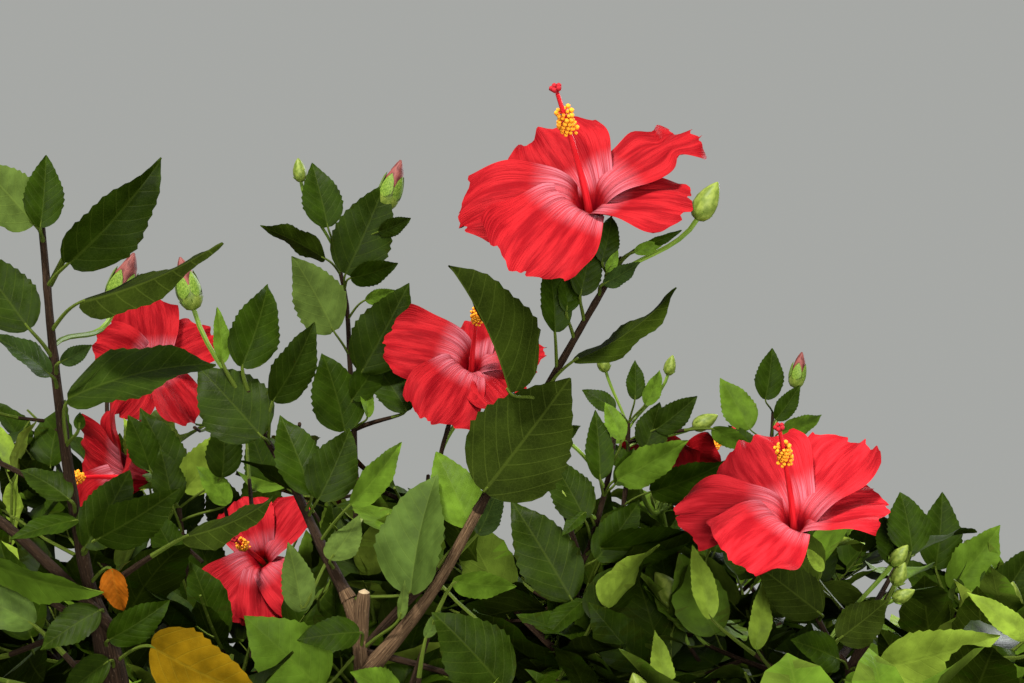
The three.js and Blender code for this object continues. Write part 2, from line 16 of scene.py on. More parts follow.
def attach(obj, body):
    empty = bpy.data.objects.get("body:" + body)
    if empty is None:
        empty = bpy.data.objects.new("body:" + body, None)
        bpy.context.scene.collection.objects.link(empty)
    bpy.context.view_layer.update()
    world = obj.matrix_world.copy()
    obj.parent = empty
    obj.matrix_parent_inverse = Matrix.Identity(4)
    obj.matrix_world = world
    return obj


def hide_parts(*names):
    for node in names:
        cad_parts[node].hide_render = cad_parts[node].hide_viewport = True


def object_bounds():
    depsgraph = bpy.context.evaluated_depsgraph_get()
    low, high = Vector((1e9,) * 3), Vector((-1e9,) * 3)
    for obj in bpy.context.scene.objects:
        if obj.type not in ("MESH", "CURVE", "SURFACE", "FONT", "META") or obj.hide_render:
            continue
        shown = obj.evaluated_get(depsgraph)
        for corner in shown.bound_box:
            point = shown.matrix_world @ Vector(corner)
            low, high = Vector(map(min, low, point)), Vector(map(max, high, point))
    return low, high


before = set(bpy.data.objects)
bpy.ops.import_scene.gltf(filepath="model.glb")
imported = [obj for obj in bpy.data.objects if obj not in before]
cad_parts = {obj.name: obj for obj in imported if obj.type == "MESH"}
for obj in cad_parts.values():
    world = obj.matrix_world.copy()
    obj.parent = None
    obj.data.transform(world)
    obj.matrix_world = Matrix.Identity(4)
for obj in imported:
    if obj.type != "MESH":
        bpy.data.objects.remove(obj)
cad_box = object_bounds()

bpy.ops.object.select_all(action="DESELECT")
MM = 0.001
UP = Vector((0, 0, 1))
print("CAD box in metres:", [[round(c, 3) for c in corner] for corner in cad_box])

# %% [markdown]
# ## Camera
# The view is a close one, from 1.05 m in front of the stem and at the height of the flowers, and
# it looks up by 8 degrees. A 50 mm lens gives the same framing. The camera is made first, because
# the places of the leaves that show best are measured across and down that view.

# %% The camera and a helper that turns a place in the view into a point
PICTURE = (1024, 683)
EYE = Vector((0, -1.05, 1.33))
LOOK_UP = math.radians(8)
LENS, SENSOR = 50, 36
FOCAL = LENS / SENSOR * PICTURE[0]
NEAREST = 0.02
OUT_OF_VIEW = 9999

camera = bpy.data.objects.new("camera", bpy.data.cameras.new("camera"))
camera.data.lens, camera.data.sensor_width = LENS, SENSOR
camera.data.clip_start = NEAREST
camera.location = EYE
camera.rotation_euler = (math.pi / 2 + LOOK_UP, 0, 0)
bpy.context.scene.collection.objects.link(camera)
bpy.context.scene.camera = camera

AHEAD = Vector((0, math.cos(LOOK_UP), math.sin(LOOK_UP)))
ABOVE = Vector((0, -math.sin(LOOK_UP), math.cos(LOOK_UP)))
RIGHT = Vector((1, 0, 0))


def seen(across, down, away):
    """The point in millimetres that lies at a place of the view, that far along the view."""
    aside = (across - PICTURE[0] / 2) / FOCAL * away
    higher = (PICTURE[1] / 2 - down) / FOCAL * away
    return (EYE + RIGHT * aside + ABOVE * higher + AHEAD * away) / MM


def in_view(point):
    """Where a point in millimetres shows: across, down, and how far along the view."""
    ray = Vector(point) * MM - EYE
    away = ray.dot(AHEAD)
    if away < NEAREST:
        return (0, OUT_OF_VIEW, away)
    return (
        PICTURE[0] / 2 + ray.dot(RIGHT) / away * FOCAL,
        PICTURE[1] / 2 - ray.dot(ABOVE) / away * FOCAL,
        away,
    )


print("the middle of the view at 0.8 m:", [round(c) for c in seen(512, 341.5, 0.8)])

# %% [markdown]
# ## Paths and chance
# A stem is a smooth line with a length. The places of twigs and leaves are shares of that length.
# Chance comes from one small rule that needs only a seed and an index, so every run and the
# solids themselves draw the same shrub.

# %% Chance, blends and paths
def chance(seed, index):
    state = (seed * 7919 + index * 104729 + 12345) % 2147483647
    for _ in range(3):
        state = (state * 16807) % 2147483647
    return state / 2147483647


def mix(a, b, share):
    return a + (b - a) * share


def step_up(low, high, value):
    """0 below low, 1 above high, and smooth between."""
    share = np.clip((value - low) / (high - low), 0, 1)
    return share * share * (3 - 2 * share)


class Path:
    def __init__(self, points):
        self.points = points
        self.reach = [0.0]
        for a, b in zip(points, points[1:]):
            self.reach.append(self.reach[-1] + (b - a).length)
        self.length = self.reach[-1]

    def at(self, share):
        along = share * self.length
        i = 1
        while i < len(self.points) - 1 and self.reach[i] < along:
            i += 1
        start, step = self.points[i - 1], self.points[i] - self.points[i - 1]
        part = (along - self.reach[i - 1]) / (self.reach[i] - self.reach[i - 1])
        return start + step * part, step.normalized()


def bezier(points, pieces):
    """A path along a Bezier curve of three or four points."""
    line = []
    for i in range(pieces + 1):
        level, t = list(points), i / pieces
        while len(level) > 1:
            level = [a.lerp(b, t) for a, b in zip(level, level[1:])]
        line.append(level[0])
    return Path(line)


def through(points, pieces):
    """A smooth path through points, with as many pieces from each point to the next."""
    ends = [points[0] * 2 - points[1], *points, points[-1] * 2 - points[-2]]
    line = [points[0]]
    for p0, p1, p2, p3 in zip(ends, ends[1:], ends[2:], ends[3:]):
        out, into = (p2 - p0) / 2, (p3 - p1) / 2
        for i in range(1, pieces + 1):
            t = i / pieces
            line.append(
                p1 + out * t + ((p2 - p1) * 3 - out * 2 - into) * t**2
                + ((p1 - p2) * 2 + out + into) * t**3
            )
    return Path(line)


def seen_path(pieces, *places):
    """A smooth path through places of the view and points."""
    return through([p if isinstance(p, Vector) else seen(*p) for p in places], pieces)


LEVEL = Vector((0.6, 0.8, 0))
STEEP = 0.8


def round_about(along):
    """Two directions square to a stem's own, to measure headings round it."""
    level = UP if abs(along.dot(LEVEL)) > STEEP else LEVEL
    side = level.cross(along).normalized()
    return side, along.cross(side)


def around(along, heading):
    """The direction square to a stem's own, at a heading round it."""
    side, across = round_about(along)
    return side * math.cos(heading) + across * math.sin(heading)


def away_from(along, heading, angle):
    return along * math.cos(angle) + around(along, heading) * math.sin(angle)


def rising(start, direction, length, rise):
    """A shoot that leaves at a direction and turns up towards the light."""
    knee = start + direction * length / 2
    tip = knee + (direction + UP * rise).normalized() * length / 2
    return bezier([start, knee, tip], 8)


# %% [markdown]
# ## The plan of the stems
# Eleven stems show well. For each there is the bough that it ends, and the points that its own
# leafy stem runs through, in millimetres. Two more carry others, and two rings of stems fill the
# crown round them. The solids are made from the same numbers, but for a few that clear the view.

# %% The stems that show best
# name, what it leaves, at what share, where the bough ends, the points of the leafy stem
CHOSEN = [
    ("front_left", "base", 0.9, (-180, -246, 1052),
     [(-209, -282, 1252), (-223, -301, 1320), (-230, -334, 1406), (-238, -345, 1487)]),
    ("front", "base", 0.75, (-95, -207, 1296),
     [(-113, -201, 1328), (-134, -187, 1367), (-151, -180, 1393)]),
    ("tall", "front", 0.95, (-20, -224, 1347),
     [(18, -252, 1413), (51, -262, 1470), (62, -264, 1488)]),
    ("centre_back", "back_left", 0.7, (-120, 108, 1205),
     [(-128, 99, 1424), (-131, 92, 1470), (-134, 86, 1520), (-142, 79, 1560)]),
    ("centre", "front", 0.5, (-50, 92, 1140), [(-52, 96, 1345), (-58, 92, 1390), (-50, 88, 1425)]),
    ("centre_right", "right", 0.5, (34, -30, 1090),
     [(44, -34, 1285), (56, -40, 1330), (68, -46, 1376), (74, -32, 1412)]),
    ("right", "base", 0.8, (204, -118, 1030),
     [(214, -128, 1228), (203, -132, 1262), (186, -136, 1296)]),
    ("left", "left_back", 0.55, (-316, 138, 1195),
     [(-330, 150, 1392), (-350, 176, 1440), (-352, 190, 1476)]),
    ("inner_left", "front_left", 0.55, (-260, 84, 1075),
     [(-270, 90, 1265), (-285, 100, 1310), (-288, 96, 1345)]),
    ("centre_far", "back_right", 0.62, (98, 196, 1125),
     [(96, 196, 1330), (100, 194, 1385), (102, 190, 1432)]),
    ("back_right", "base", 0.7, (246, 392, 1165),
     [(262, 420, 1372), (270, 434, 1425), (274, 440, 1464)]),
]
# How many twigs these bear low down by rule, and the twigs above: [share, how far the tip lies]
NO_LOW_TWIGS = ("front", "tall")
CHOSEN_TWIGS = {
    "front_left": [(0.02, -105, 40, 70), (0.08, 62, 84, 66), (0.3, -60, 74, 60)],
    "front": [(0.05, 30, 96, 34)],
    "centre_back": [(0.02, -74, 70, 6), (0.06, 56, 84, 10)],
    "centre": [(0.08, -74, -64, 30)],
    "centre_right": [(0.03, 84, 52, 10), (0.03, -20, 96, -10)],
    "right": [(0.05, 104, -24, 64), (0.1, -84, 50, 26), (0.4, 62, 84, 60)],
    "left": [(0.1, -100, 10, 50), (0.3, 74, 84, 20)],
    "inner_left": [(0.1, -90, -40, 50), (0.1, 66, 90, 20), (0.5, 30, -70, 62)],
    "centre_far": [(0.05, -80, 50, 0), (0.3, -58, -40, 30)],
    "back_right": [(0.1, -84, -30, 20), (0.1, 84, 30, 10), (0.4, -10, 74, 40)],
}

# %% The stems that carry others and the rings that fill the crown
RINGS = [
    dict(names=["back_left", "left_back"], parents=["base", "base"], headings=[112, 173], at=0.85,
         out=(205, 250), height=(1110, 1395), front_sink=0, size=1, blooms=()),
    dict(names=[f"shoulder_{i}" for i in range(1, 9)],
         headings=[-58, -17, 26, 78, 122, 165, 208, 249], at=0.42,
         parents=["right", "right", "back_right", "back_left", "left_back", "left_back",
                  "front_left", "front"],
         out=(305, 445), height=(830, 1225), front_sink=0.1, size=1.1, blooms=(0, 6)),
    dict(names=[f"low_{i}" for i in range(1, 8)], headings=[-34, 20, 76, 133, 187, 237, 288],
         parents=["right", "back_right", "back_left", "left_back", "front_left", "front", "right"],
         at=0.14, out=(315, 505), height=(385, 765), front_sink=0, size=1.15, blooms=(0, 2, 5)),
]
CHOSEN_SIZE = 0.92


def ring_stem(ring, i):
    def vary(index, amount):
        return (chance(i + 3, index) - 0.5) * amount

    heading = math.radians(ring["headings"][i])
    far = [out * (1 + vary(1, 0.1)) for out in ring["out"]]
    sink = ring["front_sink"] * max(0, -math.sin(heading))
    high = [height * (1 + vary(2, 0.07) - sink) for height in ring["height"]]
    spread = vary(3, 0.3)

    def place(share, turn):
        out = mix(far[0], far[1], share**0.8)
        return Vector((math.cos(turn) * out, math.sin(turn) * out, mix(high[0], high[1], share)))

    return dict(
        name=ring["names"][i], source=ring["parents"][i], at=ring["at"], size=ring["size"],
        to=place(0, heading), ruled=True, bloom=i in ring["blooms"],
        through=[place(0.5, heading + spread * 0.5), place(1, heading + spread)],
    )


stems = [
    dict(name=name, source=source, at=at, size=CHOSEN_SIZE, to=Vector(to), ruled=False, bloom=False,
         through=[Vector(p) for p in points])
    for name, source, at, to, points in CHOSEN
]
stems += [ring_stem(ring, i) for ring in RINGS for i in range(len(ring["headings"]))]
for number, stem in enumerate(stems):
    stem["seed"] = number + 1
print(len(stems), "stems")

# %% [markdown]
# ## Boughs and leafy stems
# A bough leaves the base outwards and up, or its parent partly along it, and comes into line with
# the leafy stem that it carries. Both are one growing limb on the real shrub.

# %% The paths of the boughs and of the leafy stems on their ends
BASE = dict(height=140, top=42, waist=35, flare=62, lobes=5, lobe_share=0.14, dome=14, lean=(6, -9))
PIECES = 8


def bough_path(stem, paths):
    end = stem["to"]
    into = (stem["through"][0] - end).normalized()
    if stem["source"] == "base":
        outward = Vector((end.x, end.y, 0)).normalized()
        foot = Vector((*BASE["lean"], 0)) * stem["at"]
        foot.z = BASE["height"] * stem["at"] * 0.8
        start, leaving = foot + outward * 16, outward * 0.62 + UP * 0.78
    else:
        start, along = paths[stem["source"]].at(stem["at"])
        leaving = ((end - start).normalized() + along * 0.9).normalized()
    reach = (end - start).length * 0.36
    return bezier([start, start + leaving * reach, end - into * reach, end], 24)


boughs = {}
waiting = list(stems)
while waiting:
    stem = waiting.pop(0)
    if stem["source"] == "base" or stem["source"] in boughs:
        boughs[stem["name"]] = bough_path(stem, boughs)
    else:
        waiting.append(stem)
# The fork that shows: one stem goes up and turns left, and the other leaves it to the right
fork_end, tall_end = boughs["front"].at(1)[0], boughs["tall"].at(1)[0]
below = [p for p in boughs["front"].points if p.z < seen(0, 760, 0.81).z]
turning = seen_path(4, (366, 722, 0.815), (362, 680, 0.82), (360, 640, 0.825), fork_end)
boughs["front"] = Path(below + turning.points)
boughs["tall"] = seen_path(6, (363, 676, 0.82), (398, 636, 0.82), (438, 583, 0.82), tall_end)
for stem in stems:
    end, along = boughs[stem["name"]].at(1)
    stem["leader"] = through([end + along * 0.3, *stem["through"]], PIECES)
print("boughs:", round(sum(p.length for p in boughs.values()) / 1000, 1), "m in all")

# %% [markdown]
# ## Shoots by rule
# Twigs stand round a stem by the golden angle, leave it at about 55 degrees and turn up. The
# solids bear a few of them. Here the same rule goes on: each stem has more twigs between, each
# twig bears finer side twigs, and the boughs bear leafy side shoots inside the crown.

# %% Twigs, finer twigs and side shoots
GOLDEN = math.radians(137.5)
TWIG_LENGTH = 200


def chosen_twig(start, along, reach):
    reach = Vector(reach)
    knee = start + reach / 2 - UP * (0.1 * reach.length) + along * 4
    return bezier([start, knee, start + reach], 8)


def ruled_twig(stem, k, top, count, shift=0.2):
    def draw(index):
        return chance(stem["seed"], 10 * (k + 1) + index)

    share = mix(0.05, 0.9, (k + shift + 0.6 * draw(0)) / count) * top
    heading = stem["seed"] * 2.1 + k * GOLDEN + (draw(1) - 0.5) * 0.5
    angle = mix(0.78, 1.1, draw(2))
    length = TWIG_LENGTH * stem["size"] * mix(1.05, 0.7, share) * mix(0.85, 1.15, draw(3))
    start, along = stem["leader"].at(share)
    return rising(start, away_from(along, heading, angle), length, 0.42)


def side_twigs(path, seed, count, length):
    """Finer twigs on a twig."""
    made = []
    for k in range(count):
        share = mix(0.25, 0.85, (k + 0.5 * chance(seed, 31 + k)) / count)
        start, along = path.at(share)
        heading = seed * 1.3 + k * GOLDEN
        reach = length * mix(0.75, 1.2, chance(seed, 41 + k)) * mix(1.1, 0.75, share)
        leaving = away_from(along, heading, mix(0.7, 1.0, chance(seed, 51 + k)))
        made.append(rising(start, leaving, reach, 0.5))
    return made


END_RADIUS = {"front_left": 8.4, "front": 4.4, "tall": 3.0}  # where a bough turns leafy, in mm
USUAL_END = 4.0
TWIG_STEP = 35  # from leaf to leaf
FULL_BACK, INNER = 14, 8  # leafy side shoots on the bough of back_right and on the others
shoots = []  # each shoot: its path, seed, where its leaves start and end, and its leaf size


def add_shoot(path, seed, start, end, size, foot, tip, step=TWIG_STEP):
    shoots.append(dict(path=path, seed=seed, start=start, end=end, size=size, foot=foot, tip=tip,
                       step=step))


def add_branched(path, seed, start, size, foot, tip, step, finer):
    """A twig with its finer side twigs."""
    add_shoot(path, seed, start, path.length, size, foot, tip, step)
    count, reach, finer_seed, finer_size, finer_step = finer
    for n, side in enumerate(side_twigs(path, seed, count, reach)):
        add_shoot(side, finer_seed + n, 12, side.length, finer_size, 1.7, 1.0, finer_step)


for stem in stems:
    leader, seed, size = stem["leader"], stem["seed"], stem["size"]
    low_twigs = 3 if stem["ruled"] else (0 if stem["name"] in NO_LOW_TWIGS else 5)
    low = 0 if stem["ruled"] or not low_twigs else leader.reach[PIECES] / leader.length
    twigs = []
    for share, *reach in CHOSEN_TWIGS.get(stem["name"], []):
        twigs.append(chosen_twig(*leader.at(mix(low, 1, share)), reach))
    twigs += [ruled_twig(stem, k, low or 1, low_twigs) for k in range(low_twigs)]
    if stem["ruled"]:
        twigs += [ruled_twig(stem, k + 5, 1, 5.5, -4.8) for k in range(5)]
    leafy_to = leader.length * (1 if stem["ruled"] else low)
    add_shoot(leader, seed * 50, 0, leafy_to, size, END_RADIUS.get(stem["name"], USUAL_END), 1.7)
    shoots[-1]["leader"] = True
    for k, path in enumerate(twigs):
        add_branched(path, seed * 50 + k + 1, 18, size, 3.0, 1.4, TWIG_STEP,
                     (3, 92, seed * 500 + 10 * k, size * 0.92, 24))
    inner = FULL_BACK if stem["name"] == "back_right" else INNER
    for k in range(inner):
        share = mix(0.45, 0.98, (k + chance(seed, 71 + k) * 0.6) / inner)
        start, along = boughs[stem["name"]].at(share)
        leaving = away_from(along, seed * 1.9 + k * GOLDEN, 0.85)
        path = rising(start, leaving, mix(130, 270, chance(seed, 81 + k)), 0.8)
        add_branched(path, seed * 90 + k, 14, size * 0.95, 2.4, 1.2, 27,
                     (2, 96, seed * 700 + 10 * k, size * 0.9, 25))
print(len(shoots), "shoots")

# %% [markdown]
# ## Joined meshes
# A shrub has thousands of leaves, so they are gathered as arrays of points and faces, and each
# kind becomes a few joined meshes. A leaf or a petal is a thin closed sheet: its upper and lower
# sides share their rim, and each side has its own finish.

# %% Gathering points and faces
class Gathered:
    def __init__(self):
        self.points, self.faces, self.slots, self.uvs, self.count = [], [], [], [], 0

    def add(self, points, *groups):
        """points (n, 3) in millimetres, then groups of faces (m, 4) or (m, 3), each with the slots
        of its faces and the places of their corners on the map."""
        self.points.append(points)
        for faces, slots, uvs in groups:
            self.faces.append(faces + self.count)
            self.slots.append(np.broadcast_to(slots, len(faces)))
            self.uvs.append(uvs)
        self.count += len(points)

    def mesh(self, name, materials, sharp=50):
        mesh = bpy.data.meshes.new(name)
        points = np.concatenate(self.points) * MM
        corners = np.concatenate([f.ravel() for f in self.faces])
        totals = np.concatenate([np.full(len(f), f.shape[1]) for f in self.faces])
        mesh.vertices.add(len(points))
        mesh.vertices.foreach_set("co", points.astype(np.float32).ravel())
        mesh.loops.add(len(corners))
        mesh.loops.foreach_set("vertex_index", corners.astype(np.int32))
        mesh.polygons.add(len(totals))
        mesh.polygons.foreach_set("loop_start", (np.cumsum(totals) - totals).astype(np.int32))
        mesh.polygons.foreach_set("material_index", np.concatenate(self.slots).astype(np.int32))
        mesh.uv_layers.new(name="UVMap")
        flat = np.concatenate([u.reshape(-1, 2) for u in self.uvs])
        mesh.uv_layers[0].uv.foreach_set("vector", flat.astype(np.float32).ravel())
        mesh.polygons.foreach_set("use_smooth", np.ones(len(totals), bool))
        mesh.update(calc_edges=True)
        mesh.validate()
        mesh.set_sharp_from_angle(angle=math.radians(sharp))
        for material in materials:
            mesh.materials.append(material)
        piece = bpy.data.objects.new(name, mesh)
        bpy.context.scene.collection.objects.link(piece)
        print(name, len(points), "points,", int((totals - 2).sum()), "triangles")
        return piece


SHEETS = {}


def sheet_plan(rows, cols):
    """Faces of a closed sheet of rows x cols points: the upper side's, the lower side's, and which
    of its points lie inside the rim."""
    if (rows, cols) not in SHEETS:
        upper = np.arange(rows * cols).reshape(rows, cols)
        inside = np.zeros((rows, cols), bool)
        inside[1:-1, 1:-1] = True
        lower = upper.copy()
        lower[inside] = rows * cols + np.arange(inside.sum())
        quads = [np.stack([g[:-1, :-1], g[:-1, 1:], g[1:, 1:], g[1:, :-1]], -1).reshape(-1, 4)
                 for g in (upper, lower)]
        SHEETS[rows, cols] = (quads[0], quads[1][:, ::-1], inside)
    return SHEETS[rows, cols]


MARGIN = 0.02


def in_cell(uv, number, cells):
    """Places on a tile moved into one of cells x cells squares of the map, one for each finish.
    number is that of the finish, or one for each face."""
    corner = np.stack([np.asarray(number) % cells, np.asarray(number) // cells], -1)
    if corner.ndim > 1:
        corner = corner[:, None]
    return (corner + MARGIN + (1 - 2 * MARGIN) * uv) / cells


def add_sheet(gathered, grid, local, thickness, slots, cells):
    """A thin closed sheet whose upper side is the grid of points (rows, cols, 3). local is where
    each point lies on its tile, and slots are the finishes of the upper and the lower side."""
    rows, cols = grid.shape[:2]
    top, under, inside = sheet_plan(rows, cols)
    facing = np.cross(np.gradient(grid, axis=1), np.gradient(grid, axis=0))
    facing /= np.maximum(np.linalg.norm(facing, axis=2, keepdims=True), 1e-9)
    points = np.concatenate([grid.reshape(-1, 3), (grid - facing * thickness)[inside]])
    flat = np.concatenate([local.reshape(-1, 2), local[inside]])
    gathered.add(points, *[(faces, slot, in_cell(flat[faces], slot, cells))
                           for faces, slot in ((top, slots[0]), (under, slots[1]))])


# %% [markdown]
# ## Round stems
# A twig or bough is a tube of rings along its path, with a closed point at its end. Its skin is
# laid out in mirrored tiles, half way round and a quarter of a metre along, so the bark runs on
# without a seam.

# %% Tubes along a path
TILE = 250


def tube(gathered, centres, radii, sides, slots, relief=None, cells=2):
    """A closed round stem through centres, as thick as radii say, in millimetres."""
    centres = np.array([c[:] for c in centres], float)
    radii = np.asarray(radii, float)
    n = len(centres)
    steps = np.gradient(centres, axis=0)
    steps /= np.linalg.norm(steps, axis=1, keepdims=True)
    level = np.array([0.6, 0.8, 0])
    side, sides_at = np.cross(steps[0], level if abs(steps[0] @ level) < STEEP else [0, 0, 1]), []
    for step in steps:
        side = side - step * (side @ step)
        side /= np.linalg.norm(side)
        sides_at.append(side)
    sides_at = np.array(sides_at)
    across = np.cross(steps, sides_at)
    turns = np.arange(sides) * 2 * np.pi / sides
    reach = np.concatenate([[0], np.cumsum(np.linalg.norm(np.diff(centres, axis=0), axis=1))])
    thick = radii[:, None] * (np.ones(sides) if relief is None else relief(reach, turns))
    ring = (np.cos(turns)[None, :, None] * sides_at[:, None]
            + np.sin(turns)[None, :, None] * across[:, None])
    points = centres[:, None] + ring * thick[:, :, None]
    ends = np.array([centres[0], centres[-1] + steps[-1] * radii[-1] * 0.6])

    grid = np.arange(n * sides).reshape(n, sides)
    nxt = np.roll(grid, -1, axis=1)
    quads = np.stack([grid[:-1], nxt[:-1], nxt[1:], grid[1:]], -1).reshape(-1, 4)
    caps = np.concatenate([np.stack([nxt[0], grid[0], np.full(sides, n * sides)], -1),
                           np.stack([grid[-1], nxt[-1], np.full(sides, n * sides + 1)], -1)])
    u = 1 - np.abs(1 - 2 * np.arange(sides + 1) / sides)
    v = 1 - np.abs(1 - (reach / TILE) % 2)
    corner = np.stack(np.meshgrid(u, v), -1)
    local = np.stack([corner[:-1, :-1], corner[:-1, 1:], corner[1:, 1:], corner[1:, :-1]], 2)
    slots = np.broadcast_to(slots, n)
    skins, ends_in = np.repeat(slots[:-1], sides), np.repeat(slots[[0, -1]], sides)
    gathered.add(np.concatenate([points.reshape(-1, 3), ends]),
                 (quads, skins, in_cell(local.reshape(-1, 4, 2), skins, cells)),
                 (caps, ends_in, in_cell(np.full((2 * sides, 3, 2), 0.5), ends_in, cells)))


def along_path(path, spacing, least=3):
    """Places evenly set along a path, and their shares of its length."""
    count = max(least, int(path.length / spacing) + 1)
    shares = np.linspace(0, 1, count)
    return np.array([path.at(s)[0] for s in shares]), shares


# %% [markdown]
# ## Bark, young wood and green stalks
# The old stems are grey-brown with fine ridges and pale dots, the younger wood is purple-brown,
# and leaf stalks are green. Their skins differ in colour more than in pattern. The shader sums
# are written as Python expressions: a small class wraps a socket, and each sum adds its nodes.

# %% A small language for shader sums
class Amount:
    """A number that varies over a surface."""

    def __init__(self, finish, socket):
        self.finish, self.socket = finish, socket

    def _sum(self, operation, *values):
        return self.finish.node("ShaderNodeMath", {"operation": operation}, dict(enumerate(values)))

    def __add__(self, other):
        return self._sum("ADD", self, other)

    def __sub__(self, other):
        return self._sum("SUBTRACT", self, other)

    def __rsub__(self, other):
        return self._sum("SUBTRACT", other, self)

    def __mul__(self, other):
        return self._sum("MULTIPLY", self, other)

    def __abs__(self):
        return self._sum("ABSOLUTE", self)

    def fraction(self):
        return self._sum("FRACT", self)

    def most(self, other):
        return self._sum("MAXIMUM", self, other)

    def ramp(self, low, high, start=0.0, end=1.0):
        """start below low, end above high, and smooth between."""
        values = {"Value": self, "From Min": low, "From Max": high, "To Min": start, "To Max": end}
        return self.finish.node("ShaderNodeMapRange", {"interpolation_type": "SMOOTHSTEP"}, values)

    __radd__, __rmul__ = __add__, __mul__


class Finish:
    """A material whose colour, roughness and relief are set by expressions."""

    def __init__(self, name, roughness, **fixed):
        self.material = bpy.data.materials.new(name)
        self.material.use_nodes = True
        self.tree = self.material.node_tree
        self.shader = self.tree.nodes["Principled BSDF"]
        self.shader.inputs["Roughness"].default_value = roughness
        for socket, value in fixed.items():
            self.shader.inputs[socket.replace("_", " ")].default_value = value

    def node(self, kind, settings=None, values=None, out=0):
        node = self.tree.nodes.new(kind)
        for name, value in (settings or {}).items():
            setattr(node, name, value)
        for name, value in (values or {}).items():
            self.feed(node.inputs[name], value)
        return Amount(self, node.outputs[out])

    def feed(self, socket, value):
        if isinstance(value, Amount):
            self.tree.links.new(value.socket, socket)
        else:
            socket.default_value = (*value, 1) if socket.type == "RGBA" else value

    def mixed(self, share, one, other):
        """A colour between two others."""
        return self.node("ShaderNodeMix", {"data_type": "RGBA"}, {0: share, 6: one, 7: other}, 2)

    def place(self, cells):
        """Where a point lies on its own tile of a map of cells x cells tiles."""
        uv = self.node("ShaderNodeUVMap", {"uv_map": "UVMap"})
        tiles = self.scaled(uv, cells, cells, 1)
        return self.node("ShaderNodeVectorMath", {"operation": "FRACTION"}, {0: tiles})

    def scaled(self, vector, *scales):
        return self.node("ShaderNodeVectorMath", {"operation": "MULTIPLY"}, {0: vector, 1: scales})

    def parts(self, vector):
        split = self.tree.nodes.new("ShaderNodeSeparateXYZ")
        self.feed(split.inputs[0], vector)
        return [Amount(self, split.outputs[i]) for i in range(2)]

    def noise(self, vector, scale, detail=2.0):
        values = {"Vector": vector, "Scale": scale, "Detail": detail}
        return self.node("ShaderNodeTexNoise", {}, values)

    def cells(self, vector, scale, feature="DISTANCE_TO_EDGE"):
        values = {"Vector": vector, "Scale": scale}
        return self.node("ShaderNodeTexVoronoi", {"feature": feature}, values)

    def finished(self, colour, height=None, strength=0.4, depth=0.001, roughness=None):
        self.feed(self.shader.inputs["Base Color"], colour)
        if roughness is not None:
            self.feed(self.shader.inputs["Roughness"], roughness)
        if height is not None:
            values = {"Strength": strength, "Distance": depth, "Height": height}
            self.feed(self.shader.inputs["Normal"], self.node("ShaderNodeBump", {}, values))
        return self.material


# %% The skins of old wood, young wood and green stalks
def skin(name, roughness, depth, dark, light, dots):
    look = Finish(name, roughness, Specular_IOR_Level=0.06)
    uv = look.place(2)
    long_grain = look.noise(look.scaled(uv, 9, 5, 1), 3.0, 5.0)
    ridges = look.noise(look.scaled(uv, 16, 3.5, 1), 4.0, 4.0).ramp(0.4, 0.66)
    spots = look.cells(look.scaled(uv, 8, 26, 1), 2.2, "F1").ramp(0.1, 0.24, 1.0, 0.0)
    colour = look.mixed(long_grain.ramp(0.32, 0.68), dark, light)
    colour = look.mixed(ridges * 0.45, colour, tuple(c * 0.45 for c in dark))
    colour = look.mixed(spots * 0.55, colour, dots)
    return look.finished(colour, long_grain * 0.6 - ridges * 0.5 + spots * 0.5, 0.6, depth)


WOOD = [
    skin("old_bark", 0.85, 0.0016, (0.046, 0.026, 0.014), (0.15, 0.094, 0.052), (0.27, 0.19, 0.11)),
    skin("young_bark", 0.7, 0.0008, (0.01, 0.006, 0.0035), (0.034, 0.019, 0.011),
         (0.1, 0.07, 0.045)),
    skin("green_stalk", 0.6, 0.0003, (0.04, 0.066, 0.006), (0.08, 0.11, 0.014), (0.12, 0.15, 0.03)),
    skin("pale_cut", 0.8, 0.0004, (0.22, 0.16, 0.09), (0.34, 0.26, 0.16), (0.14, 0.09, 0.05)),
]
OLD_BARK, YOUNG_BARK, GREEN_STALK, PALE_CUT = range(4)
OLD_FROM, YOUNG_FROM = 5.0, 1.6  # radii in millimetres


def wood_slots(radii):
    radii = np.asarray(radii)
    younger = np.where(radii > YOUNG_FROM, YOUNG_BARK, GREEN_STALK)
    return np.where(radii > OLD_FROM, OLD_BARK, younger)


# %% [markdown]
# ## The stem base
# The base is drawn up from a flat circle on the ground, ring by ring, as by hand: each extrusion
# follows the flare and the lean. Then its root lobes and the relief of the bark are pushed out.

# %% Drawing a round form up from a circle
def drawn_up(name, sides, rings):
    """A closed round form from rings of (height, radius, how far aside x, y), in millimetres."""
    height, radius, x, y = rings[0]
    bpy.ops.object.select_all(action="DESELECT")
    bpy.ops.mesh.primitive_circle_add(vertices=sides, radius=radius, fill_type="NGON",
                                      location=(0, 0, 0))
    form = bpy.context.object
    form.name = name
    bpy.ops.object.mode_set(mode="EDIT")
    bpy.ops.mesh.select_mode(type="VERT")
    bpy.ops.mesh.select_all(action="SELECT")
    bpy.ops.transform.translate(value=(x, y, height))
    for a, b in zip(rings, rings[1:]):
        move = (b[2] - a[2], b[3] - a[3], b[0] - a[0])
        bpy.ops.mesh.extrude_region_move(TRANSFORM_OT_translate={"value": move})
        grow = b[1] / a[1]
        bpy.ops.transform.resize(value=(grow, grow, 1), center_override=(b[2], b[3], b[0]))
    bpy.ops.mesh.select_all(action="SELECT")
    bpy.ops.mesh.normals_make_consistent(inside=False)
    bpy.ops.object.mode_set(mode="OBJECT")
    return form


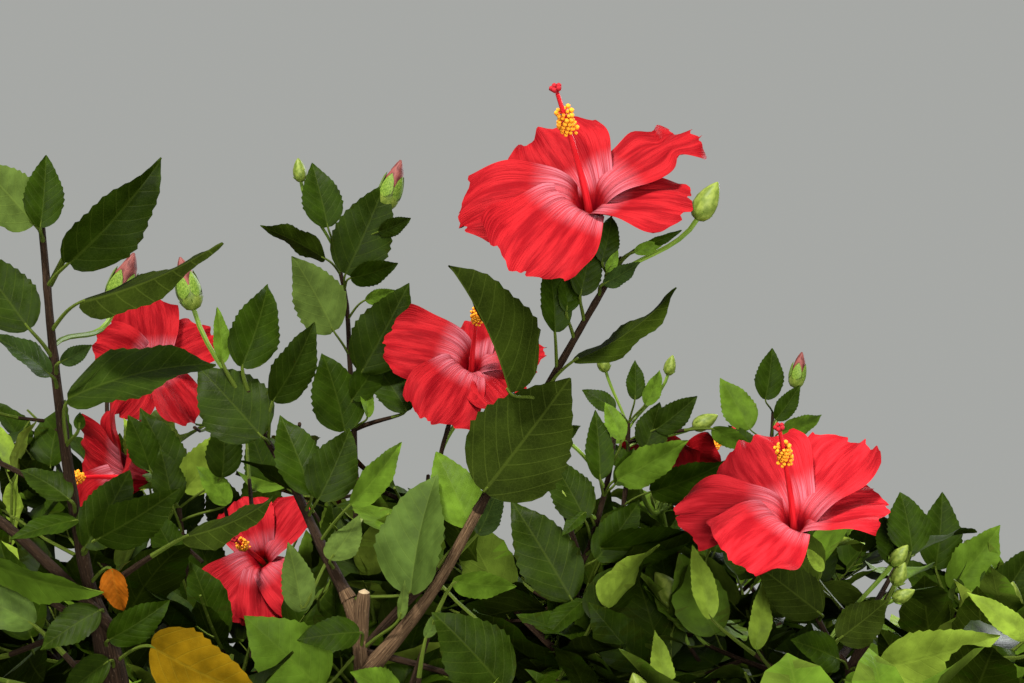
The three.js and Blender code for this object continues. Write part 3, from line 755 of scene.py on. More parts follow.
def arrays_of(form):
    """The points and the quads of a modelled form, and its other faces as fans of triangles. The
    form is removed."""
    points = np.array([v.co[:] for v in form.data.vertices])
    faces = [list(p.vertices) for p in form.data.polygons]
    bpy.data.objects.remove(form)
    fans = [[f[0], f[i], f[i + 1]] for f in faces if len(f) != 4 for i in range(1, len(f) - 1)]
    return points, np.array([f for f in faces if len(f) == 4]), np.array(fans)


def bark_noise(turn, along, finer_round, finer_along):
    aside = math.cos(turn) * finer_round, math.sin(turn) * finer_round
    return noise.noise(Vector((*aside, along * finer_along)))


rings = []
for share in np.arange(22) / 21:
    width = BASE["waist"] + (BASE["flare"] - BASE["waist"]) * (1 - share) ** 3
    width += (BASE["top"] - BASE["waist"]) * share**2
    rings.append((BASE["height"] * share, width, BASE["lean"][0] * share, BASE["lean"][1] * share))
for share in (0.86, 0.62, 0.3, 0.06):
    rise = BASE["dome"] * math.sqrt(1 - share**2)
    rings.append((BASE["height"] + rise, BASE["top"] * share, *BASE["lean"]))
base = drawn_up("base", 72, rings)
for v in base.data.vertices:
    share = min(v.co.z / BASE["height"], 1)
    middle = Vector((BASE["lean"][0] * share, BASE["lean"][1] * share, 0))
    out = Vector((v.co.x, v.co.y, 0)) - middle
    turn = math.atan2(out.y, out.x)
    lobe = 1 + BASE["lobe_share"] * (1 - share) * math.cos(BASE["lobes"] * turn)
    ridge, fine = bark_noise(turn, v.co.z, 5, 0.02), bark_noise(turn, v.co.z, 16, 0.05)
    grow = lobe * (1 + 0.07 * ridge + 0.035 * fine)
    v.co.x, v.co.y = middle.x + out.x * grow, middle.y + out.y * grow
base_points, walls, ends = arrays_of(base)
turns = np.arctan2(*(base_points[:, i] - BASE["lean"][i] / 2 for i in (1, 0)))
base_uv = in_cell(np.stack([np.abs(turns) / np.pi, base_points[:, 2] / TILE], -1), OLD_BARK, 2)
trunk = Gathered()
trunk.add(base_points, (walls, OLD_BARK, base_uv[walls]), (ends, OLD_BARK, base_uv[ends]))
trunk_piece = trunk.mesh("stem_base_bark", WOOD)

# %% [markdown]
# ## Boughs and shoots
# Boughs taper from the base to where their leafy stems begin, and go on as those stems with no
# step. They swell where they leave, and a little at each leaf, as the real wood does.

# %% The radius of boughs and stems, and their relief
def bough_radius(stem, path, shares):
    short = path.length < 200
    foot = 15 if stem["source"] == "base" else (4.2 if short or stem["name"] == "tall" else 8.5)
    swell = foot * 0.35 * np.maximum(0, 1 - shares * path.length / 60)
    return foot + (END_RADIUS.get(stem["name"], USUAL_END) - foot) * shares**0.6 + swell


def wood_relief(reach, turns):
    bumps, fine = [np.array([[bark_noise(t, s, *finer) for t in turns] for s in reach])
                   for finer in ((2.2, 0.03), (5, 0.12))]
    return 1 + 0.06 * bumps + 0.05 * fine


def knots(reach, spacing, start, amount):
    """A stem is a little thicker at each leaf joint."""
    off = (reach - start + spacing / 2) % spacing - spacing / 2
    return 1 + amount * np.exp(-((off / 3.0) ** 2))


wood, twigs_made, stalks_made = Gathered(), Gathered(), Gathered()
for stem in stems:
    centres, shares = along_path(boughs[stem["name"]], 11)
    radii = bough_radius(stem, boughs[stem["name"]], shares)
    # The front left stem's bough takes the darker young bark, so it shows darker than the others
    bark = YOUNG_BARK if stem["name"] == "front_left" else OLD_BARK
    tube(wood, centres, radii, 14, bark, wood_relief)
# The thick old wood of the front left stem, in the darker young bark, a short cut stub at the fork,
# and a side branch
thick = [stems[0]["leader"].at(s)[0] for s in np.linspace(0, 0.57, 30)]
radii = [8.4] * 12 + [8.0] * 12 + [7.6, 7.2, 6.6, 5.8, 4.8, 3.6]
tube(wood, thick, radii, 16, YOUNG_BARK, wood_relief)
stub = seen_path(4, (361, 640, 0.825), (362, 612, 0.823), (364, 592, 0.821))
tube(wood, stub.points, [4.2] * 7 + [3.8, 3.2], 14, [OLD_BARK] * 8 + [PALE_CUT], wood_relief)
branch = seen_path(6, (112, 628, 0.74), (60, 575, 0.735), (0, 521, 0.73), (-70, 478, 0.74))
centres, shares = along_path(branch, 8)
tube(wood, centres, 3.4 - 1.4 * shares, 12, YOUNG_BARK, wood_relief)
bough_piece = wood.mesh("bough_bark", WOOD)

# %% [markdown]
# ## Where the flowers are
# Each flower is placed before the leaves, so that no leaf grows through it. It is told by its
# throat, the way that it faces and the way that its long column leans.

# %% The flowers of the chosen stems and of the rings
COLUMN, CALYX = 76, 24


def unit(*v):
    return Vector(v).normalized()


# stem, throat, the way it faces, the way the column leans, then for each petal its heading, its
# length, how far it opens, its breadth, how far its end bends back and, if it has one, its waist
FLOWERS = [
    ("tall", (43, -268, 1518), unit(-0.12, -0.84, 0.53), unit(-0.25, -0.76, 0.6),
     [(-32, 52, 74, 0.84, 12), (57, 72, 82, 0.66, 14, 0.42), (108, 58, 78, 0.68, 16),
      (209, 71, 84, 0.8, 14), (256, 76, 84, 0.62, 36)]),
    ("centre", (-32, 62, 1467), unit(0.02, -0.85, 0.53), unit(0.1, -0.82, 0.56),
     [(-8, 46, 103, 0.8, 10), (82, 56, 80, 0.6, 14), (150, 54, 84, 0.62, 14),
      (206, 73, 84, 0.8, 12), (282, 70, 84, 0.8, 14)]),
    ("right", (177, -150, 1342), unit(-0.13, -0.7, 0.7), unit(-0.22, -0.67, 0.68),
     [(-26, 63, 73, 0.78, 12), (42, 68, 72, 0.78, 14), (89, 54, 78, 0.74, 14),
      (213, 69, 74, 0.8, 10), (262, 74, 82, 0.66, 12)]),
    ("left", (-327, 226, 1488), unit(0.5, -0.84, 0.2), unit(0.49, -0.87, -0.07),
     [(-10, 58, 76, 0.76, 14), (62, 62, 80, 0.66, 16), (148, 64, 84, 0.7, 16),
      (215, 60, 82, 0.66, 16), (285, 50, 80, 0.7, 20)]),
    ("inner_left", (-296, 55, 1379), unit(-0.8, -0.55, 0.1), unit(-0.42, -0.9, -0.05),
     [(4, 62, 66, 0.86, 26), (78, 62, 70, 0.84, 20), (150, 60, 72, 0.8, 20),
      (222, 58, 72, 0.84, 20), (294, 62, 68, 0.86, 20)]),
    ("shoulder_5", (-229, 262, 1313), unit(-0.02, -0.98, 0.2), unit(-0.12, -0.96, 0.24),
     [(-22, 56, 80, 0.74, 16), (36, 68, 80, 0.54, 16), (132, 66, 84, 0.64, 18),
      (170, 60, 84, 0.64, 18), (218, 64, 84, 0.8, 16)]),
    ("centre_far", (150, 256, 1384), unit(0.5, 0.25, 0.8), unit(0.7, 0.3, 0.6), None),
]
BLOOM_STALK = 62
CHOSEN_ROOT, RING_ROOT = 0.9, 0.92  # where the stalk leaves, as a share of the leafy stem
flowers = []
for name, throat, axis, lean, petals in FLOWERS:
    stem = next(s for s in stems if s["name"] == name)
    flowers.append(dict(stem=stem, throat=Vector(throat), axis=axis, lean=lean, petals=petals,
                        root=CHOSEN_ROOT))
for stem in stems:
    if stem["bloom"]:
        place, along = stem["leader"].at(RING_ROOT)
        outward = Vector((place.x, place.y, 0)).normalized()
        axis = (outward * 0.75 + UP * 0.7).normalized()
        throat = place + (along + axis).normalized() * (BLOOM_STALK + CALYX)
        flowers.append(dict(stem=stem, throat=throat, axis=axis, petals=None, root=RING_ROOT,
                            lean=(axis + UP * 0.3).normalized()))
for number, flower in enumerate(flowers):
    if not flower["petals"]:
        turn = 360 * chance(number, 5)
        flower["petals"] = [
            (turn + 72 * k + 14 * (chance(number, k) - 0.5), 62 + 8 * chance(number, k + 20),
             70 + 18 * chance(number, k + 40), 0.82 + 0.14 * chance(number, k + 60),
             12 + 24 * chance(number, k + 80)) for k in range(5)
        ]
    flower["seen"] = in_view(flower["throat"])
print(len(flowers), "flowers, seen at", [[round(c) for c in f["seen"][:2]] for f in flowers])

# %% [markdown]
# ## Leaf blades
# A hibiscus leaf is egg-shaped with a long point, folded a little along its midrib, arched, and
# coarsely toothed past a third of its length. A few blades are made as grids of points. Leaves
# that show closely have nine teeth a side, others fewer.

# %% The shape of a leaf blade
def leaf_outline(share):
    """Half the width at a share of the length, where the widest part is 1."""
    return (share / 0.36) ** 0.62 * ((1 - share) / 0.64) ** 1.12


def leaf_blade(teeth, columns, width, arch, fold, wave=0.0, phase=0.0, twist=0.0):
    """The upper side of a leaf 1 long, its foot at the origin, its tip on +Y and its face up, with
    where each point lies on its tile. Angles are in radians."""
    rows = [0.012, 0.04, 0.09, 0.16, 0.23] if teeth else [0.012, 0.1, 0.26, 0.5, 0.72, 0.9]
    rims = [1] * len(rows)
    for k in range(teeth):
        start, step = 0.28 + 0.7 * k / teeth, 0.7 / teeth
        rows, rims = rows + [start, start + 0.7 * step], rims + [0.975, 1.05]
    rows, rims = np.array(rows + [0.993]), np.array(rims + [1])
    across = np.linspace(-1, 1, columns)
    half = leaf_outline(rows) * width / 2
    x = half[:, None] * across
    x[:, [0, -1]] *= rims[:, None]
    turning = arch * (0.5 - rows)
    spans = np.diff(np.concatenate([[0], rows]))
    y, z = np.cumsum(np.cos(turning) * spans), np.cumsum(np.sin(turning) * spans)
    y, z = y / y[-1], z - z[-1] * rows
    lift = np.abs(x) * math.sin(fold) - x**2 * 0.5
    lift = lift + wave * np.sin(rows * 15 + phase)[:, None] * across**2
    turned = twist * (rows - 0.5)[:, None]
    flat = x * math.cos(fold)
    aside = flat * np.cos(turned) - lift * np.sin(turned)
    lift = flat * np.sin(turned) + lift * np.cos(turned)
    grid = np.stack([aside, y[:, None] - np.sin(turning)[:, None] * lift,
                     z[:, None] + np.cos(turning)[:, None] * lift], -1)
    return grid, np.stack([0.5 + x, np.broadcast_to(rows[:, None], x.shape)], -1)


def blades_like(teeth, columns):
    """Blades that differ in width, arch, fold, wave, its phase, and twist."""
    return [leaf_blade(teeth, columns, *shape) for shape in (
        (0.64, 0.6, 0.3, 0.016, 0, 0.3), (0.58, 0.35, 0.42, 0.022, 2, -0.4),
        (0.68, 0.9, 0.2, 0.02, 4, 0.1), (0.56, 0.25, 0.5, 0.014, 1, 0.45),
        (0.62, -0.25, 0.3, 0.026, 3, -0.2), (0.66, 0.5, 0.36, 0.024, 5, 0.6))]


near_blades, far_blades = blades_like(5, 3), blades_like(0, 3)
print("triangles of a near leaf and a far leaf:",
      [8 * (len(blades[0][0]) - 1) for blades in (near_blades, far_blades)])

def add_leaf(gathered, blade, foot, tip, face, tint, thickness=0.45):
    """A leaf from foot to tip, in millimetres, whose upper side looks along face."""
    foot, tip, face = (np.array(v[:]) for v in (foot, tip, face))
    length = np.linalg.norm(tip - foot)
    along = (tip - foot) / length
    across = np.cross(along, face)
    across /= np.linalg.norm(across)
    up = np.cross(across, along)
    grid, local = blade
    slot = TINTS.index(tint) * 2
    add_sheet(gathered, foot + length * grid @ np.array([across, along, up]), local, thickness,
              (slot, slot + 1), 4)


# %% [markdown]
# ## Leaf finishes
# The upper side is a waxy dark green with fine pale veins sunk into it. The underside is duller,
# and its veins stand out; it is painted about as dark as the upper side, as painted shade, where a
# real underside is paler. All that is drawn by where a point lies on the blade. Fresh and turning
# leaves differ in plain colour. The deep tint is partly painted shade, and the bright tint partly
# painted sunlight and backlight on the leaf. There is a finish for each.

# %% The two sides of a leaf
def leaf_side(name, colour, under, gloss):
    look = Finish(name, 0.6 if under else gloss, Specular_IOR_Level=0.015 if under else 0.035)
    tile = look.place(4)
    across, along = look.parts(tile)
    from_midrib = abs(across - 0.5)
    lateral = (along - from_midrib * 0.72 - from_midrib * from_midrib * 1.2) * 8.0
    lateral = lateral + across.ramp(0.49, 0.51) * 0.35
    between = abs(lateral.fraction() - 0.5) * 2
    vein = between.ramp(0.86, 1.0)
    midrib = (from_midrib + along * 0.006).ramp(0.007, 0.017, 1.0, 0.0)
    net = look.cells(tile, 34.0).ramp(0.0, 0.09, 1.0, 0.0)
    cloud = look.noise(tile, 5.0, 3.0)
    grain = look.noise(tile, 60.0, 2.0)
    lines = vein.most(midrib)
    dark = tuple(c * 0.72 for c in colour)
    light = tuple(min(c * 1.28, 1) for c in colour)
    shown = look.mixed(cloud.ramp(0.3, 0.7), dark, light)
    vein_colour = tuple(mix(c, d, 0.35) for c, d in zip(colour, (0.16, 0.22, 0.03)))
    shown = look.mixed(lines * (0.2 if under else 0.16), shown, vein_colour)
    shown = look.mixed(net * 0.07, shown, vein_colour)
    if under:
        height = lines * 0.9 + net * 0.2 + grain * 0.12
        return look.finished(shown, height, 0.25, 0.0008)
    height = (1 - between.ramp(0.0, 1.0)) * 0.3 - lines * 0.3 - net * 0.1
    height = height + grain * 0.06 + cloud * 0.5
    roughness = cloud.ramp(0.3, 0.7, gloss - 0.05, gloss + 0.08)
    return look.finished(shown, height, 0.3, 0.0008, roughness)


# The colours of the upper side and the underside, and how rough the upper side is. The undersides
# are painted about as dark as the upper sides, as painted shade; deep is partly painted shade, and
# bright partly painted sunlight and backlight.
LEAF_COLOURS = dict(
    deep=((0.01, 0.02, 0.001), (0.011, 0.018, 0.0015), 0.42),
    mid=((0.0115, 0.0245, 0.0008), (0.0125, 0.022, 0.0012), 0.44),
    fresh=((0.056, 0.104, 0.008), (0.052, 0.082, 0.009), 0.46),
    bright=((0.14, 0.21, 0.022), (0.12, 0.17, 0.02), 0.48),
    pale=((0.04, 0.068, 0.012), (0.043, 0.068, 0.013), 0.5),
    blue=((0.014, 0.027, 0.005), (0.022, 0.036, 0.008), 0.4),
    yellow=((0.13, 0.075, 0.002), (0.11, 0.062, 0.003), 0.5),
    orange=((0.19, 0.052, 0.003), (0.17, 0.055, 0.006), 0.5),
)
TINTS = list(LEAF_COLOURS)
LEAF_SIDES = [leaf_side(f"{tint}_leaf_{side}", colour, side == "underside", rough)
              for tint, (top, below, rough) in LEAF_COLOURS.items()
              for side, colour in (("top", top), ("underside", below))]
print(len(LEAF_SIDES), "leaf finishes")

# %% [markdown]
# ## Which places stay clear
# A leaf by rule is left out where it would pass through a flower, leave the crown's box, or show
# against the sky or before the near stems. The leaves there are placed one by one instead.

# %% Sky line, near stems and flowers
# The line above which the sky shows, in the view
SKY_LINE = [(-100, 300), (0, 300), (100, 330), (180, 395), (230, 400), (290, 430), (340, 450),
            (400, 470), (470, 490), (480, 560), (560, 560), (570, 500), (640, 470), (700, 455),
            (760, 470), (880, 500), (960, 520), (1124, 560)]
# And the line above which nothing shows that is this far away, in metres
NEAR_LINE = ([0.4, 0.74, 0.76, 0.94, 0.96, 1.1], [665, 665, 640, 640, 500, 400])
OUTER_MM, VIEW_MARGIN = 20, 30
FORK_ACROSS, FORK_DOWN, FORK_AWAY = (335, 470), 690, 0.88  # nothing stands before the fork
FLOWER_AWAY = 0.03  # and nothing before a flower, or this little behind it
CLEAR_ROUND = (78, 78, 78, 50, 50, 62, 50)  # mm kept clear in the view round each flower that shows
TO_SUN, SUN_REACH, SUN_ROUND = unit(-0.16, -0.69, 0.7), 500, 62  # no leaf shades the deeper flowers
BLOOM_BEHIND, BLOOM_AHEAD, BLOOM_ROUND = -20, 90, 80


def in_tube(point, start, direction, behind, ahead, radius):
    offset = Vector(point) - start
    far = offset.dot(direction)
    return behind < far < ahead and (offset - direction * far).length < radius


def clear_in_view(point):
    across, down, away = in_view(point)
    if away < 0.05 or not (-VIEW_MARGIN < across < PICTURE[0] + VIEW_MARGIN
                           and -VIEW_MARGIN < down < PICTURE[1] + VIEW_MARGIN):
        return True
    if down < max(np.interp(across, *zip(*SKY_LINE)), np.interp(away, *NEAR_LINE)):
        return False
    if away < FORK_AWAY and FORK_ACROSS[0] < across < FORK_ACROSS[1] and down < FORK_DOWN:
        return False
    for flower, clear in zip(flowers, CLEAR_ROUND):
        u, v, d = flower["seen"]
        if away < d + FLOWER_AWAY and math.hypot(across - u, down - v) < clear * MM / d * FOCAL:
            return False
    return True


def stays_clear(points):
    """True where none of the points is in a flower, outside the box, or where the view is kept."""
    for point in points:
        if not all(low / MM - OUTER_MM < value < high / MM + OUTER_MM
                   for low, value, high in zip(cad_box[0], point, cad_box[1])):
            return False
        if not clear_in_view(point):
            return False
        if any(in_tube(point, f["throat"], TO_SUN, 0, SUN_REACH, SUN_ROUND) for f in flowers[3:6]):
            return False
        if any(in_tube(point, f["throat"], f["axis"], BLOOM_BEHIND, BLOOM_AHEAD, BLOOM_ROUND)
               for f in flowers):
            return False
    return True


# %% [markdown]
# ## Shoots and their leaves
# Each shoot's wood is a thin tube. Its leaves stand by the golden angle, open less towards the tip
# and face the light. A shoot whose tip would show where the view is kept is left out whole.

# %% Twigs and ruled leaves
LEAF_LENGTH, STALK_SHARE, SAG = 104, 0.17, 0.008


def stalked_leaf(blades, gathered, place, direction, length, face, tint, pick):
    foot, tip = place + direction * length * STALK_SHARE, place + direction * length
    if not stays_clear([foot, (foot + tip) / 2, tip]):
        return 0
    add_leaf(gathered, blades[pick % len(blades)], foot, tip, face, tint)
    sag = (place + foot) / 2 - UP * length * SAG
    tube(stalks_made, [place, sag, foot + direction * 2], [1.0, 0.8, 0.7], 3, GREEN_STALK)
    return 1


def ruled_leaves(shoot, blades, gathered):
    path, seed, step, count, j = shoot["path"], shoot["seed"], shoot["step"], 0, 0
    whole = LEAF_LENGTH * shoot["size"]
    while shoot["start"] + j * step < shoot["end"] - 4:
        share = min((shoot["start"] + j * step) / path.length, 1)
        place, along = path.at(share)
        opening = mix(1.12, 0.62, share**2) + (chance(seed, 3 * j) - 0.5) * 0.25
        direction = away_from(along, seed * 1.7 + j * GOLDEN, opening) + UP * 0.18
        length = whole * mix(1, 0.72, share**3) * mix(0.86, 1.1, chance(seed, 3 * j + 1))
        tilt = Vector([chance(seed, 3 * j + n) - 0.5 for n in (100, 200, 300)]) * 0.7
        tint = shoot["tint"] if chance(seed, j + 900) < 0.75 else "mid"
        count += stalked_leaf(blades, gathered, place, direction.normalized(), length,
                              UP + along * 0.5 + tilt, tint, int(seed + j))
        j += 1
    if shoot["end"] > path.length - 6:
        place, along = path.at(1)
        for k in range(2):
            direction = away_from(along, seed + k * 2.6, 0.34 + 0.2 * k)
            count += stalked_leaf(blades, gathered, place, direction, whole * mix(0.62, 0.78, k),
                                  UP + along * 0.5, shoot["young"], int(seed + k))
    return count


# The tints that shoots are dealt, on the shaded side and on the sunny side. They are painted light
# and shade: shoots that show right of SUNNY_FROM across the view get lighter tints, and the others
# darker ones, with a few bright leaves as painted highlights.
SHADED = ["mid", "deep", "deep", "fresh", "mid", "deep", "bright", "blue"]
SUNNY, SUNNY_FROM = ["mid", "fresh", "mid", "fresh", "mid", "mid", "fresh", "deep"], 600
YOUNG = ["fresh", "bright", "mid"]
CLOSE_MARGIN, CLOSE = 80, 1.5  # leaves within this of the view are made with teeth
near_leaves, far_leaves = Gathered(), [Gathered() for _ in range(3)]
kept_shoots, leaves_made = [], 0
for shoot in shoots:
    path, seed, leader = shoot["path"], shoot["seed"], "leader" in shoot
    if not leader and not stays_clear([path.at(1)[0], path.at(0.6)[0]]):
        continue
    kept_shoots.append(shoot)
    across, down, away = in_view(path.at(0.7)[0])
    # painted light and shade: the tint follows where the shoot shows across the view
    shoot["tint"] = (SUNNY if across > SUNNY_FROM else SHADED)[int(chance(seed, 7) * 8)]
    shoot["young"] = YOUNG[int(chance(seed, 8) * 3)]
    centres, shares = along_path(path, 6 if leader else 22)
    radii = shoot["foot"] + (shoot["tip"] - shoot["foot"]) * shares ** (0.6 if leader else 1)
    if leader:
        radii = radii * knots(shares * path.length, shoot["step"], shoot["start"], 0.16)
    tube(twigs_made, centres, radii, 10 if leader else 5, wood_slots(radii),
         wood_relief if leader else None)
    if (-CLOSE_MARGIN < across < PICTURE[0] + CLOSE_MARGIN
            and -CLOSE_MARGIN < down < PICTURE[1] + CLOSE_MARGIN and away < CLOSE):
        leaves_made += ruled_leaves(shoot, near_blades, near_leaves)
    else:
        leaves_made += ruled_leaves(shoot, far_blades, far_leaves[int(seed) % 3])
print(len(kept_shoots), "shoots kept,", leaves_made, "leaves by rule")

# %% [markdown]
# ## Leaves that show closely
# In the near part of the view each leaf has its own place. It is told by where its foot and its
# tip show, how much deeper the tip lies, how it is rolled (0 turns the upper side to the eye, 180
# the underside), its width, its fold and its tint. It sits on its own stem, by a curved stalk.

